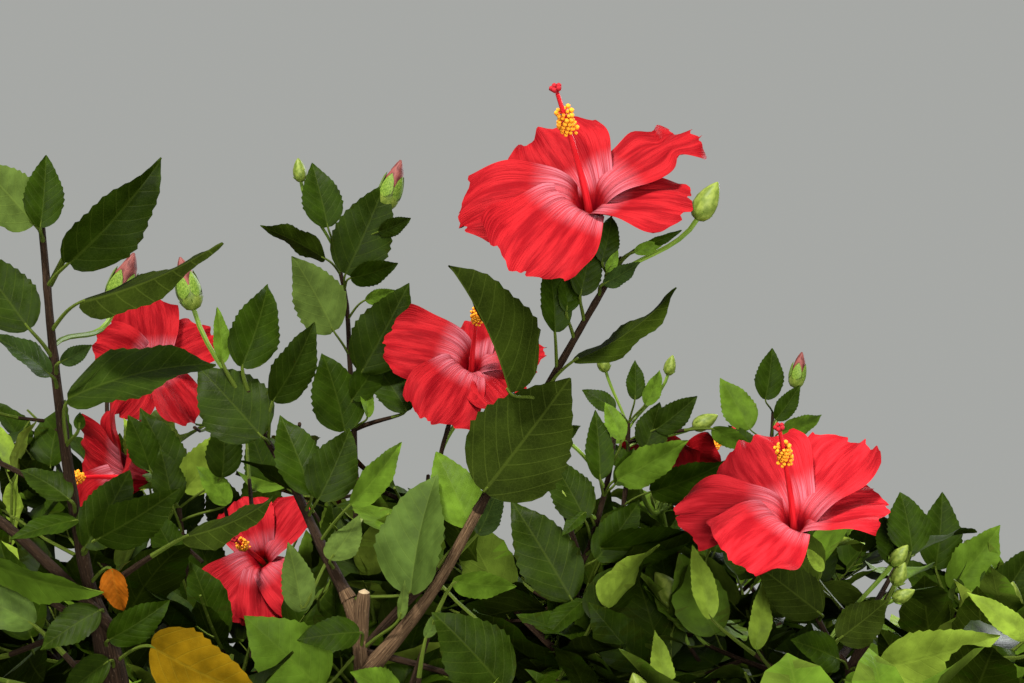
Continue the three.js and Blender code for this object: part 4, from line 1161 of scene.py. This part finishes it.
# %% The leaves placed one by one
# The foot and the tip in the view, how much deeper the tip is in mm, roll, width, fold and tint.
# Where the stalk doesn't start beside the foot, the place from which it starts follows.
PLACED = {
    "front_left": [
        (40, 228, 46, 155, 5, 10, 0.55, 16, "mid"), (35, 225, -25, 160, 10, 165, 0.6, 12, "pale"),
        (68, 264, 162, 158, -10, 20, 0.5, 26, "deep", 47, 288),
        (78, 303, 222, 242, -30, 114, 0.36, 20, "deep", 58, 328),
        (30, 330, -30, 250, 0, 10, 0.6, 16, "deep", 50, 362),
        (50, 375, -10, 335, -20, 40, 0.5, 20, "blue"),
        (60, 362, 92, 345, 10, 20, 0.55, 16, "blue"),
        (66, 400, 216, 364, 10, -50, 0.62, 14, "deep", 85, 455),
        (84, 548, 130, 470, 20, 10, 0.6, 16, "deep"),
        (95, 540, 180, 488, -10, 30, 0.55, 16, "deep"),
        (182, 538, 277, 495, -20, 130, 0.42, 16, "deep", 104, 600),
        (-15, 560, 104, 592, -20, 50, 0.4, 20, "fresh"),
        (35, 625, -35, 590, 0, 20, 0.55, 16, "pale"),
        (112, 568, 124, 612, 10, 20, 0.6, 24, "orange"),
        (150, 645, 268, 700, -20, 30, 0.6, 12, "yellow", 122, 668),
        (79, 430, 80, 412, 5, 10, 0.6, 16, "mid"), (70, 500, 20, 470, 10, 30, 0.55, 16, "deep"),
        (78, 520, 10, 540, -20, 50, 0.5, 14, "mid"), (100, 610, 40, 650, -10, 30, 0.6, 14, "deep"),
        (108, 640, 170, 600, 10, 20, 0.6, 14, "mid"), (110, 660, 60, 700, 0, 30, 0.6, 14, "deep"),
    ],
    "inner_left": [
        (183, 492, 236, 426, 10, 10, 0.55, 14, "bright", 162, 505),
        (178, 485, 140, 408, 10, 20, 0.5, 16, "mid", 160, 520),
        (150, 487, 124, 418, 10, 10, 0.42, 14, "bright", 160, 530),
        (222, 640, 196, 572, 10, 20, 0.5, 16, "deep", 180, 690),
        (190, 600, 165, 545, 10, 20, 0.55, 16, "mid", 165, 620),
    ],
    "left_back": [
        (228, 505, 196, 466, 0, 30, 0.6, 14, "fresh", 196, 520),
        (222, 478, 224, 412, 0, 20, 0.6, 14, "deep", 194, 500),
        (172, 505, 160, 448, 0, 20, 0.6, 14, "deep", 194, 530),
        (150, 470, 128, 415, 0, 20, 0.6, 14, "mid", 192, 500),
        (176, 560, 150, 510, 0, 20, 0.6, 14, "mid", 198, 600),
        (170, 620, 150, 565, 0, 20, 0.6, 14, "deep", 200, 640),
    ],
    "shoulder_5": [
        (215, 588, 188, 520, 0, 20, 0.6, 14, "mid", 290, 640),
        (320, 604, 306, 530, 0, 10, 0.6, 14, "fresh", 290, 640),
        (332, 560, 318, 490, 0, 20, 0.6, 14, "deep", 290, 640),
        (232, 535, 212, 470, 0, 10, 0.6, 14, "deep", 290, 640),
        (262, 522, 258, 452, 0, 20, 0.6, 14, "mid", 290, 640),
        (192, 604, 166, 540, 0, 30, 0.6, 14, "deep", 290, 640),
        (302, 528, 320, 468, 0, 10, 0.6, 14, "mid", 290, 640),
        (180, 530, 196, 470, 0, 10, 0.6, 14, "mid", 290, 640),
    ],
    "front": [
        (222, 364, 217, 307, 10, 20, 0.32, 16, "fresh", 262, 425),
        (262, 437, 198, 366, 10, 10, 0.75, 12, "deep"),
        (241, 368, 268, 284, 15, 15, 0.6, 14, "mid", 262, 425),
        (272, 402, 314, 322, 10, 35, 0.6, 16, "deep", 270, 440),
        (312, 495, 280, 415, 20, 20, 0.55, 16, "mid"),
        (318, 500, 350, 428, 10, 10, 0.7, 14, "deep"),
        (350, 505, 401, 442, 30, 30, 0.4, 18, "fresh", 318, 545),
        (330, 560, 360, 515, 20, 160, 0.6, 14, "pale"),
        (302, 612, 288, 542, 10, 160, 0.5, 14, "pale", 330, 560),
        (322, 690, 244, 616, -20, 10, 0.7, 14, "fresh", 358, 640),
        (360, 632, 296, 640, -10, 20, 0.55, 14, "mid"),
        (400, 700, 350, 672, -20, 20, 0.6, 14, "fresh", 362, 690),
        (400, 620, 405, 580, 0, 160, 0.3, 14, "pale", 372, 640),
        (411, 594, 437, 474, 10, -24, 0.75, 32, "pale", 425, 590),
        (470, 528, 436, 452, 20, 10, 0.6, 14, "fresh"),
        (478, 535, 500, 485, 20, 20, 0.5, 14, "blue"),
        (505, 690, 432, 612, -10, 10, 0.7, 12, "deep", 410, 630),
        (452, 580, 516, 586, 20, 30, 0.45, 14, "fresh"),
        (425, 638, 441, 608, 10, 20, 0.4, 14, "pale"),
    ],
    "tall": [
        (510, 395, 449, 265, 0, 116, 0.82, 42, "deep", 540, 400),
        (483, 493, 570, 378, -10, 172, 0.74, 12, "deep", 492, 478),
        (572, 362, 677, 288, 0, 115, 0.55, 14, "mid", 545, 392),
        (555, 333, 548, 262, 10, 20, 0.55, 28, "mid", 557, 372),
        (580, 296, 592, 238, 10, 15, 0.55, 16, "deep", 582, 320),
        (602, 262, 612, 215, 10, 15, 0.5, 14, "deep"),
        (607, 272, 618, 250, 0, 15, 0.5, 14, "fresh"),
        (603, 284, 640, 262, 10, 30, 0.45, 14, "blue"),
        (634, 252, 668, 238, 0, 30, 0.4, 14, "fresh", 612, 262),
        (645, 245, 682, 230, -5, 30, 0.3, 14, "mid", 612, 262),
        (566, 312, 572, 268, 15, 20, 0.5, 20, "mid", 572, 340),
    ],
    "centre_back": [
        (328, 228, 312, 163, 10, 10, 0.6, 16, "mid"),
        (345, 275, 385, 183, 10, 15, 0.6, 14, "deep"),
        (378, 232, 411, 218, 10, 20, 0.55, 14, "deep", 350, 250),
        (326, 259, 260, 226, 10, 130, 0.5, 16, "mid", 346, 272),
        (334, 332, 292, 256, 10, 168, 0.65, 12, "pale", 345, 358),
        (350, 278, 398, 263, 10, 30, 0.6, 14, "mid"),
        (361, 373, 409, 283, 10, 15, 0.6, 14, "deep"),
        (345, 432, 322, 353, 10, 15, 0.7, 14, "mid"),
        (368, 418, 362, 372, 20, 30, 0.3, 16, "fresh"),
        (408, 412, 374, 362, 30, 20, 0.55, 14, "mid", 380, 430),
        (352, 400, 385, 345, 20, 20, 0.5, 14, "mid"),
        (365, 300, 395, 290, 10, 20, 0.5, 16, "fresh", 349, 320),
        (272, 492, 250, 430, 0, 10, 0.6, 14, "mid", 348, 470),
        (302, 496, 286, 436, 0, 10, 0.6, 14, "deep", 348, 480),
        (322, 500, 332, 440, 0, 10, 0.6, 14, "fresh", 348, 500),
        (340, 560, 330, 500, 0, 20, 0.6, 14, "deep", 350, 570),
        (372, 540, 392, 478, 0, 20, 0.6, 14, "deep", 350, 560),
        (345, 600, 322, 560, 0, 20, 0.6, 14, "mid", 352, 610),
    ],
    "centre_right": [
        (572, 600, 511, 500, 20, 15, 0.55, 14, "deep"),
        (585, 520, 549, 457, 10, 15, 0.65, 14, "deep", 592, 540),
        (585, 512, 562, 536, -10, 30, 0.5, 14, "mid"),
        (540, 440, 581, 426, 10, 30, 0.5, 14, "deep"), (600, 548, 697, 532, 0, 40, 0.6, 14, "mid"),
        (600, 480, 595, 410, 10, 20, 0.45, 16, "mid"),
        (622, 440, 605, 402, 10, 20, 0.5, 16, "fresh", 603, 470),
        (615, 485, 634, 448, 10, 20, 0.5, 16, "mid", 602, 500),
        (615, 480, 688, 440, 10, 30, 0.5, 14, "fresh", 602, 500),
        (596, 560, 640, 500, 10, 20, 0.55, 14, "mid"),
        (585, 600, 545, 640, -20, 40, 0.55, 14, "mid"),
        (575, 630, 640, 590, 10, 30, 0.5, 14, "fresh"),
    ],
    "centre_far": [
        (615, 410, 582, 390, 10, 20, 0.55, 14, "mid"),
        (635, 400, 635, 360, 10, 20, 0.5, 14, "mid"),
        (645, 405, 660, 370, 10, 20, 0.5, 14, "fresh"),
        (655, 430, 697, 396, 10, 20, 0.55, 14, "deep"),
        (645, 450, 660, 402, 10, 20, 0.7, 14, "deep"),
        (650, 492, 728, 460, -10, 30, 0.55, 14, "mid"),
        (712, 428, 753, 447, 10, 30, 0.5, 14, "fresh", 660, 440),
        (625, 440, 590, 425, 10, 20, 0.5, 14, "fresh"),
        (630, 470, 600, 440, 10, 20, 0.5, 14, "mid"),
    ],
    "back_right": [
        (765, 400, 772, 348, 10, 20, 0.6, 14, "mid"),
        (750, 430, 720, 378, 10, 20, 0.6, 14, "fresh"),
        (780, 432, 822, 415, 10, 30, 0.55, 14, "fresh"),
        (775, 420, 800, 385, 10, 20, 0.5, 14, "mid"), (755, 450, 728, 425, 10, 20, 0.5, 14, "mid"),
    ],
    "shoulder_3": [
        (935, 570, 942, 492, 10, 20, 0.6, 16, "mid"),
        (950, 590, 1000, 525, 10, 30, 0.6, 16, "fresh"),
        (955, 610, 895, 560, 10, 30, 0.6, 16, "mid"),
        (990, 610, 1035, 545, 10, 30, 0.6, 16, "deep"),
        (975, 600, 965, 540, 10, 20, 0.5, 16, "mid"),
    ],
    "right": [
        (822, 615, 758, 566, -10, 170, 0.6, 14, "deep", 815, 620),
        (838, 640, 888, 600, -10, 165, 0.7, 14, "deep"),
        (822, 572, 806, 548, 10, 20, 0.5, 14, "bright"),
        (880, 668, 1000, 635, -20, 20, 0.5, 14, "bright", 850, 670),
        (1030, 640, 967, 592, 10, 20, 0.35, 14, "bright"),
        (755, 650, 762, 580, 20, 20, 0.35, 16, "bright"),
        (710, 620, 692, 545, 20, 20, 0.35, 16, "bright"),
        (665, 700, 655, 630, 20, 20, 0.35, 16, "bright"),
        (912, 552, 900, 492, 10, 20, 0.8, 14, "mid"),
        (840, 660, 790, 640, -20, 30, 0.6, 14, "mid"),
        (845, 680, 900, 700, -20, 30, 0.6, 14, "fresh"),
        (900, 570, 880, 515, 20, 20, 0.6, 16, "mid"),
    ],
}


def nearest_on(name, across, down):
    """How far off, in the view, this stem passes a place, at which point, and how far away."""
    stem = next(s for s in stems if s["name"] == name)
    points = [path.at(mix(first, 1, k / 60))[0]
              for path, first in ((stem["leader"], 0), (boughs[name], 0.3)) for k in range(61)]
    nearest = min(points, key=lambda p: math.dist(in_view(p)[:2], (across, down)))
    return math.dist(in_view(nearest)[:2], (across, down)), nearest, in_view(nearest)[2]


BESIDE = 60  # a leaf that is farther off than this rises from lower down its stem
placed_leaves = Gathered()
for name, rows in PLACED.items():
    for number, (x, y, tip_x, tip_y, deeper, roll, width, fold, tint, *root) in enumerate(rows):
        off, start, away = nearest_on(name, *(root or (x, y + 14)))
        seed, before = number + len(name) * 31, 14
        if off > BESIDE and not root:
            off, start, away = nearest_on(name, x, y + 110)
            before = 0
        foot = seen(x, y, away - before * MM)
        tip = seen(tip_x, tip_y, away - (before - deeper) * MM)
        along = (tip - foot).normalized()
        to_eye = EYE / MM - foot
        side = (to_eye - along * to_eye.dot(along)).normalized()
        turn = math.radians(roll + 16 * (chance(seed, 1) - 0.5))
        face = side * math.cos(turn) + along.cross(side) * math.sin(turn)
        blade = leaf_blade(9, 9, width, mix(0.25, 0.6, chance(seed, 2)), math.radians(fold),
                           mix(0.012, 0.026, chance(seed, 3)), 6 * chance(seed, 4),
                           0.5 * (chance(seed, 5) - 0.5))
        add_leaf(placed_leaves, blade, foot, tip, face, tint)
        stalk = bezier([start, (start + foot) / 2 + UP * 3, foot - along * 5, foot + along * 4], 8)
        radii = np.linspace(2.3 if stalk.length > 50 else 1.1, 0.8, 9)
        tube(stalks_made, stalk.points, radii, 6, wood_slots(radii))
cut = seen_path(4, (50, 285, 0.73), (62, 262, 0.718), (76, 236, 0.705))
tube(stalks_made, cut.points, np.linspace(1.6, 1.5, 9), 8, [GREEN_STALK] * 8 + [PALE_CUT])
leaves_made += sum(len(rows) for rows in PLACED.values())
placed_piece = placed_leaves.mesh("leaves_in_front", LEAF_SIDES)

# %% [markdown]
# ## Petals
# A petal is narrow in the throat, where the five form a tube, and opens into a broad blade with a
# wavy rim. The blades overlap like a pinwheel and bend back. Each is a grid worked out along and
# across the petal, and then thickened as a leaf is.

# %% The shape of a petal
def petal_grid(flower, petal, rows, columns, seed):
    heading, length, opening, breadth, curl, waist = petal if len(petal) > 5 else (*petal, 0)
    axis = np.array(flower["axis"][:])
    up = (UP - flower["axis"] * UP.dot(flower["axis"])).normalized()
    turn = math.radians(heading)
    beside = np.array(up.cross(flower["axis"])[:])
    out = math.cos(turn) * np.array(up[:]) + math.sin(turn) * beside
    sideways = np.cross(out, axis)
    r, t = np.linspace(0, 1, rows)[:, None], np.linspace(-1, 1, columns)[None, :]
    fine = np.linspace(0, 1, 80)
    bend = 10 + (opening - 10) * step_up(0.1, 0.42, fine) + curl * step_up(0.55, 1.0, fine)
    bend = np.radians(bend)
    reach = (length + 14) / 79
    ahead, outward = np.cumsum(np.cos(bend)) * reach, np.cumsum(np.sin(bend)) * reach
    rim = 1 - 0.16 * (1 - waist) * t**2 - 0.05 * np.sin(t * 5 + seed * 1.7) ** 2
    rim = rim - 0.012 * np.sin(t * 23 + seed * 2)
    along = r * (1 - (1 - rim) * r)
    bent = np.interp(along, fine, bend)[..., None]
    facing = np.sin(bent) * axis - np.cos(bent) * out
    half = 40 * breadth * (0.17 + 0.83 * np.sin(np.pi / 2 * np.clip(along / 0.82, 0, 1)))
    half = half * (1 - waist * np.exp(-(((along - 0.75) / 0.07) ** 2)))
    half = half * np.sqrt(1 - 0.7 * np.clip((along - 0.62) / 0.38, 0, 1) ** 2.4)
    x = half * t
    lift = x**2 / (2 * (8 + 260 * along**1.5))
    amount = 7.5 * along**2
    lift = lift + amount * (np.sin(t * 4 + seed) * np.abs(t) ** 1.5 * 0.7
                            + np.sin(along * 11 + t * 3 + seed * 3) * t**2
                            + 0.25 * np.cos(t * 9 + seed))
    lift = lift + 0.5 * along * np.sin(t * 15 + 1.5 * np.sin(along * 8) + seed)
    tilt = math.radians(12)
    grid = (np.array(flower["throat"][:]) + (np.interp(along, fine, ahead)[..., None] - 14) * axis
            + (np.interp(along, fine, outward)[..., None] + 4) * out
            + (x * math.cos(tilt))[..., None] * sideways
            + (x * math.sin(tilt) + lift)[..., None] * facing)
    return grid, np.stack([np.broadcast_to(0.5 + t / 2, x.shape), np.broadcast_to(r, x.shape)], -1)


# %% [markdown]
# ## Petal, column and calyx finishes
# The petals are a clear red, darker in the throat, with pale rose streaks that run out from it
# along the veins as a painted sheen, and fine raised veins. Two flowers that the lamps light less
# have a paler face, as painted light. The pollen is yellow, and the calyx is a fresh green.

# %% The finishes of the flowers
(PETAL_FACE, PETAL_BACK, COLUMN_SKIN, POLLEN, STIGMA, CALYX_SKIN, BUD_SKIN, BUD_PETAL,
 PAINTED_LIGHT_PETAL) = range(9)
FLOWER_CELLS = 3


def petal_side(name, bright, dark, sheen_share):
    look = Finish(name, 0.6, Specular_IOR_Level=0.05)
    tile = look.place(FLOWER_CELLS)
    along = look.parts(tile)[1]
    veins = look.noise(look.scaled(tile, 46, 1.3, 1), 1.6, 4.0)
    broad = look.noise(look.scaled(tile, 7, 1.6, 1), 1.5, 3.0)
    shown = look.mixed(broad.ramp(0.35, 0.65), dark, bright)
    shown = look.mixed(veins.ramp(0.48, 0.68) * 0.4, shown, dark)
    # pale rose streaks from the throat along the veins: a painted sheen
    rose_sheen_streaks = along.ramp(0.2, 0.3) * along.ramp(0.32, 0.52, 1.0, 0.0) * veins.ramp(0.42, 0.6, 0.3, 1.0)
    shown = look.mixed(rose_sheen_streaks * sheen_share, shown, (0.52, 0.18, 0.235))
    shown = look.mixed(along.ramp(0.1, 0.22, 1.0, 0.0) * 0.85, shown, (0.26, 0.002, 0.01))
    return look.finished(shown, broad * 0.9 - veins * 0.6, 0.8, 0.0018)


def mottled(name, dark, light, roughness, scale=12.0, strength=0.4):
    look = Finish(name, roughness, Specular_IOR_Level=0.25)
    spots = look.noise(look.place(FLOWER_CELLS), scale, 3.0)
    return look.finished(look.mixed(spots.ramp(0.35, 0.65), dark, light), spots, strength, 0.0006)


FLOWER_LOOKS = [
    petal_side("petal_face", (0.31, 0.0085, 0.0125), (0.175, 0.002, 0.005), 0.55),
    petal_side("petal_back", (0.33, 0.007, 0.011), (0.2, 0.0025, 0.005), 0.12),
    mottled("column_skin", (0.5, 0.006, 0.012), (0.7, 0.02, 0.03), 0.5),
    mottled("pollen", (0.78, 0.24, 0.01), (0.88, 0.4, 0.02), 0.7, 30.0),
    mottled("stigma_velvet", (0.22, 0.002, 0.008), (0.4, 0.008, 0.016), 0.75, 40.0),
    mottled("calyx_skin", (0.07, 0.13, 0.01), (0.14, 0.22, 0.025), 0.5),
    mottled("bud_skin", (0.08, 0.12, 0.012), (0.17, 0.22, 0.035), 0.5, 5.0),
    mottled("bud_petal", (0.075, 0.014, 0.014), (0.19, 0.052, 0.045), 0.6, 6.0),
    # a paler face as painted light, for flowers that the lamps light less
    petal_side("painted_light_petal_face", (0.46, 0.016, 0.024), (0.27, 0.005, 0.01), 0.55),
]

# %% [markdown]
# ## Buds and pollen beads
# A bud is drawn up from a circle, ring by ring, once as a closed green bud and once with the
# rolled petals showing at its tip. Five ridges are pushed out, as the calyx has, and the red bud
# gets the five free lobes too. Both are then copied, and so is a small bead for each anther.

# %% Two buds and a bead
# Heights and radii in millimetres
GREEN_BUD = [(0, 2), (1.5, 6), (6, 9.4), (13, 10.8), (20, 10.2), (27, 7.8), (33, 4.6), (37, 1.6),
             (38, 0.5)]
RED_BUD = [(0, 2), (1.5, 6), (6, 9.0), (13, 10.2), (20, 9.8), (22, 8.6), (29, 7.6), (36, 5.6),
           (42, 3.0), (46, 0.8)]
BUD_SIDES, ALL_GREEN, CALYX_TOP = 15, 99, 22


def bud_form(name, outline, green_to):
    form = drawn_up(name, BUD_SIDES, [(z, radius, 0, 0) for z, radius in outline])
    for v in form.data.vertices:
        turn = math.atan2(v.co.y, v.co.x)
        out = math.hypot(v.co.x, v.co.y) * (1 + 0.07 * math.cos(5 * turn))
        turn += max(0, v.co.z - green_to) * 0.06
        v.co.x, v.co.y = math.cos(turn) * out, math.sin(turn) * out
    points, *faces = arrays_of(form)
    turns = np.abs(np.arctan2(points[:, 1], points[:, 0])) / np.pi
    height = outline[-1][0]
    local = np.stack([turns, points[:, 2] / height], -1)
    groups = []
    for group in faces:
        green = points[group].mean(1)[:, 2] < green_to
        for slot, chosen in ((BUD_SKIN, group[green]), (BUD_PETAL, group[~green])):
            if len(chosen):
                groups.append((chosen, slot, in_cell(local[chosen], slot, FLOWER_CELLS)))
    return points, groups, height


BUDS = {"green": bud_form("green_bud", GREEN_BUD, ALL_GREEN),
        "red": bud_form("red_bud", RED_BUD, CALYX_TOP)}
bpy.ops.mesh.primitive_ico_sphere_add(subdivisions=1, radius=1)
bead_points, _, bead_faces = arrays_of(bpy.context.object)
print("faces of a bud:", sum(len(group[0]) for group in BUDS["green"][1]),
      "and of a bead:", len(bead_faces))


def add_bud(kind, foot, direction, scale):
    points, groups, _ = BUDS[kind]
    square = np.array([v[:] for v in (*round_about(direction), direction)])
    buds_made.add(np.array(foot[:]) + points * scale @ square, *groups)


def add_bead(place, radius, slot):
    uv = in_cell(0.5 + 0.4 * bead_points[:, :2], slot, FLOWER_CELLS)[bead_faces]
    blooms_made.add(np.array(place[:]) + bead_points * radius, (bead_faces, slot, uv))


def small_blade(gathered, foot, direction, outward, length, width, bend, rows=6):
    """A narrow green blade, such as a bract or a lobe of the calyx. It bends outwards."""
    share = np.linspace(0.02, 0.98, rows)[:, None]
    half = width / 2 * (share / 0.35) ** 0.4 * ((1 - share) / 0.65) ** 0.8
    t = np.linspace(-1, 1, 3)[None, :]
    direction, outward = np.array(direction[:]), np.array(outward[:])
    beside = np.cross(outward, direction)
    beside /= np.linalg.norm(beside)
    grid = (np.array(foot[:]) + (share * length)[..., None] * direction
            + (share**2 * bend * length - 0.25 * half * t**2)[..., None] * outward
            + (half * t)[..., None] * beside)
    local = np.stack([0.5 + 0.4 * t + 0 * share, share + 0 * t], -1)
    add_sheet(gathered, grid, local, 0.7, (CALYX_SKIN, CALYX_SKIN), FLOWER_CELLS)


def blades_round(gathered, foot, direction, count, aside, ahead, outwards, seed, *shape):
    """A ring of small blades. Each starts that far aside and grows ahead and outwards."""
    for k in range(count):
        outward = around(direction, seed + k * 2 * math.pi / count)
        leaving = (direction * ahead + outward * outwards).normalized()
        small_blade(gathered, foot + outward * aside, leaving, outward, *shape)


# %% [markdown]
# ## Whole flowers
# From the stalk outwards a flower has narrow bracts, a calyx of five lobes, five petals, and the
# column, which carries the pollen on short threads and ends in five velvety lobes.

# %% Flowers
# Flowers that the lamps light less get the paler face: painted light
PAINTED_LIGHT_FLOWERS = ("right", "shoulder_5")
ANTHERS = 56
blooms_made = Gathered()


def bloom_tube(centres, radii, sides, slot):
    tube(blooms_made, centres, radii, sides, slot, cells=FLOWER_CELLS)


for number, flower in enumerate(flowers):
    axis, throat, stem, lean = (flower[key] for key in ("axis", "throat", "stem", "lean"))
    rows, columns = (36, 29) if number < 3 else ((20, 15) if number < 7 else (14, 11))
    face = PAINTED_LIGHT_PETAL if stem["name"] in PAINTED_LIGHT_FLOWERS else PETAL_FACE
    for k, petal in enumerate(flower["petals"]):
        grid, local = petal_grid(flower, petal, rows, columns, number * 5.0 + k)
        add_sheet(blooms_made, grid, local, 0.6, (face, PETAL_BACK), FLOWER_CELLS)
    line = bezier([throat - axis * 14, throat + axis * 16, throat + lean * COLUMN], 16)
    bloom_tube(line.points, np.linspace(2.5, 1.2, 17), 8, COLUMN_SKIN)
    for k in range(ANTHERS):
        place, along = line.at(mix(0.71, 0.87, k / ANTHERS))
        tip = place + away_from(along, k * GOLDEN, 1.25) * mix(3.0, 5.2, chance(k, number))
        bloom_tube([place, tip], [0.35, 0.25], 3, COLUMN_SKIN)
        add_bead(tip, mix(1.1, 1.6, chance(k, 9)), POLLEN)
    place, along = line.at(1)
    for k in range(5):
        tip = place + away_from(along, k * 2 * math.pi / 5, 0.5) * 4.5
        bloom_tube([place, tip], [0.7, 0.6], 4, STIGMA)
        add_bead(tip, 1.7, STIGMA)
    foot = throat - axis * (CALYX + 10)
    blades_round(blooms_made, foot, axis, 5, 2.6, 1, 0.12, number, CALYX + 4, 12, 0.12, 8)
    blades_round(blooms_made, foot, axis, 7, 1.8, 0.8, 0.5, number, 13, 2.4, 0.25)
    start, along = stem["leader"].at(flower["root"])
    stalk = bezier([start, start + along * 20, foot - axis * 24, foot + axis * 3], 12)
    bloom_tube(stalk.points, np.linspace(1.7, 2.3, 13), 7, CALYX_SKIN)

# %% Buds
# stem, kind, where the foot and the tip show, how much nearer than the stem, the stalk's start
SEEN_BUDS = [
    ("tall", "green", (697, 220), (718, 182), 10, (605, 280)),
    ("front_left", "red", (113, 312), (134, 253), -60, (60, 340)),
    ("front", "red", (194, 310), (180, 257), 0, (265, 437)),
    ("centre_back", "green", (301, 182), (298, 158), 0, (338, 240)),
    ("centre_back", "red", (384, 210), (401, 160), 0, (347, 262)),
    ("centre_right", "green", (565, 508), (562, 490), 10, (590, 520)),
    ("centre_right", "green", (566, 440), (554, 432), 10, (597, 490)),
    ("centre_far", "green", (606, 372), (600, 350), 0, (632, 430)),
    ("centre_far", "green", (668, 375), (673, 355), 0, (640, 430)),
    ("centre_far", "green", (693, 428), (718, 415), 0, (640, 450)),
    ("back_right", "red", (795, 388), (802, 352), 0, (770, 430)),
    ("right", "green", (892, 565), (908, 545), 0, (832, 640)),
    ("right", "green", (895, 585), (905, 562), 0, (832, 640)),
    ("right", "green", (893, 600), (915, 590), 0, (832, 645)),
]
LARGEST_BUD, BUD_SHARE, RED_SHARE = 1.25, 0.35, 0.3
buds_made, bud_count = Gathered(), 0


def stalked_bud(kind, start, along, foot, direction, scale, seed):
    add_bud(kind, foot, direction, scale)
    if kind == "red":
        blades_round(buds_made, foot + direction * 11 * scale, direction, 5, 10.6 * scale, 1, 0, 0,
                     22 * scale, 12 * scale, -0.11)
    blades_round(buds_made, foot, direction, 7, 1.8, 0.8, 0.5, seed, 12 * scale, 2.2 * scale, 0.2)
    reach = (foot - start).length * 0.35
    end = foot + direction * 1.5
    stalk = bezier([start, start + along * reach, foot - direction * reach, end], 8)
    tube(buds_made, stalk.points, np.linspace(1.3, 1.6, 9), 6, CALYX_SKIN, cells=FLOWER_CELLS)


for name, kind, foot, tip, nearer, root in SEEN_BUDS:
    _, start, away = nearest_on(name, *root)
    foot, tip = seen(*foot, away - nearer * MM), seen(*tip, away - nearer * MM - 0.004)
    scale = min((tip - foot).length / BUDS[kind][2], LARGEST_BUD)
    stalked_bud(kind, start, (foot - start + UP * 20).normalized(), foot, (tip - foot).normalized(),
                scale, bud_count)
    bud_count += 1
for shoot in kept_shoots:
    seed = shoot["seed"]
    if shoot["step"] == TWIG_STEP and "leader" not in shoot and chance(seed, 17) < BUD_SHARE:
        start, along = shoot["path"].at(0.97)
        direction = (along + UP * 0.8).normalized()
        foot = start + direction * mix(16, 34, chance(seed, 18))
        if stays_clear([foot, foot + direction * 36]):
            kind = "red" if chance(seed, 19) < RED_SHARE else "green"
            scale = mix(0.6, 0.95, chance(seed, 20))
            stalked_bud(kind, start, along, foot, direction, scale, bud_count)
            bud_count += 1
print(bud_count, "buds")
bloom_piece = blooms_made.mesh("flowers", FLOWER_LOOKS)
bud_piece = buds_made.mesh("buds", FLOWER_LOOKS)
twig_piece = twigs_made.mesh("twigs", WOOD)
stalk_piece = stalks_made.mesh("leaf_stalks", WOOD)
near_piece = near_leaves.mesh("leaves_near", LEAF_SIDES)
far_pieces = [g.mesh(f"leaves_far_{k + 1}", LEAF_SIDES) for k, g in enumerate(far_leaves)]

# %% [markdown]
# ## What each piece stands for
# The bark replaces the stem base and the boughs of the solids. Leaves, twigs, flowers and buds
# together replace the solid masses of foliage.

# %% Pieces and the nodes they replace
boughs_named = ["bough_" + stem["name"] for stem in stems]
masses_named = ["foliage_" + stem["name"] for stem in stems]
for piece, slot, named in [
    (trunk_piece, "bark", ["stem_base"]), (bough_piece, "bark", boughs_named),
    *[(p, "bark", masses_named) for p in (twig_piece, stalk_piece)],
    *[(p, "foliage", masses_named)
      for p in (placed_piece, near_piece, bloom_piece, bud_piece, *far_pieces)],
]:
    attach(piece, "root")
    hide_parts(*named)

# %% [markdown]
# ## Floor and light
# The floor is plain and pale. One large soft lamp stands high in front on the left, as the sun
# does, and a pale world fills the shade.

# %% The floor, the world and the lamps
bpy.context.scene.view_settings.view_transform = "Standard"  # shows the colours as they are mixed
bpy.ops.mesh.primitive_circle_add(vertices=96, radius=9, fill_type="NGON", location=(0, 0, -0.002))
floor = bpy.context.object
floor.name = "floor"
floor_look = Finish("floor_paint", 0.9)
speckle = floor_look.noise(floor_look.node("ShaderNodeTexCoord", out=3), 3.0, 3.0)
floor_colour = floor_look.mixed(speckle, (0.28, 0.28, 0.275), (0.32, 0.32, 0.315))
floor.data.materials.append(floor_look.finished(floor_colour))

world = bpy.data.worlds.new("pale_sky")
bpy.context.scene.world = world
world.use_nodes = True
sky = world.node_tree.nodes["Background"].inputs
sky["Color"].default_value, sky["Strength"].default_value = (0.96, 0.98, 0.94, 1), 0.4


def lamp(name, place, aim, size, power, colour):
    light = bpy.data.objects.new(name, bpy.data.lights.new(name, "AREA"))
    light.data.size, light.data.energy, light.data.color = size, power, colour
    light.location = place
    light.rotation_euler = (Vector(aim) - Vector(place)).to_track_quat("-Z", "Y").to_euler()
    bpy.context.scene.collection.objects.link(light)


lamp("high_key", (-0.9, -2.7, 4.3), (0, 0, 1.2), 0.6, 335, (1.0, 0.95, 0.86))
lamp("front_fill", (0.7, -3.0, 1.2), (0.1, 0, 1.1), 1.6, 125, (1.0, 0.97, 0.9))
lamp("back_fill", (2.2, 2.4, 3.2), (0, 0, 1.2), 1.6, 130, (0.95, 0.97, 1.0))
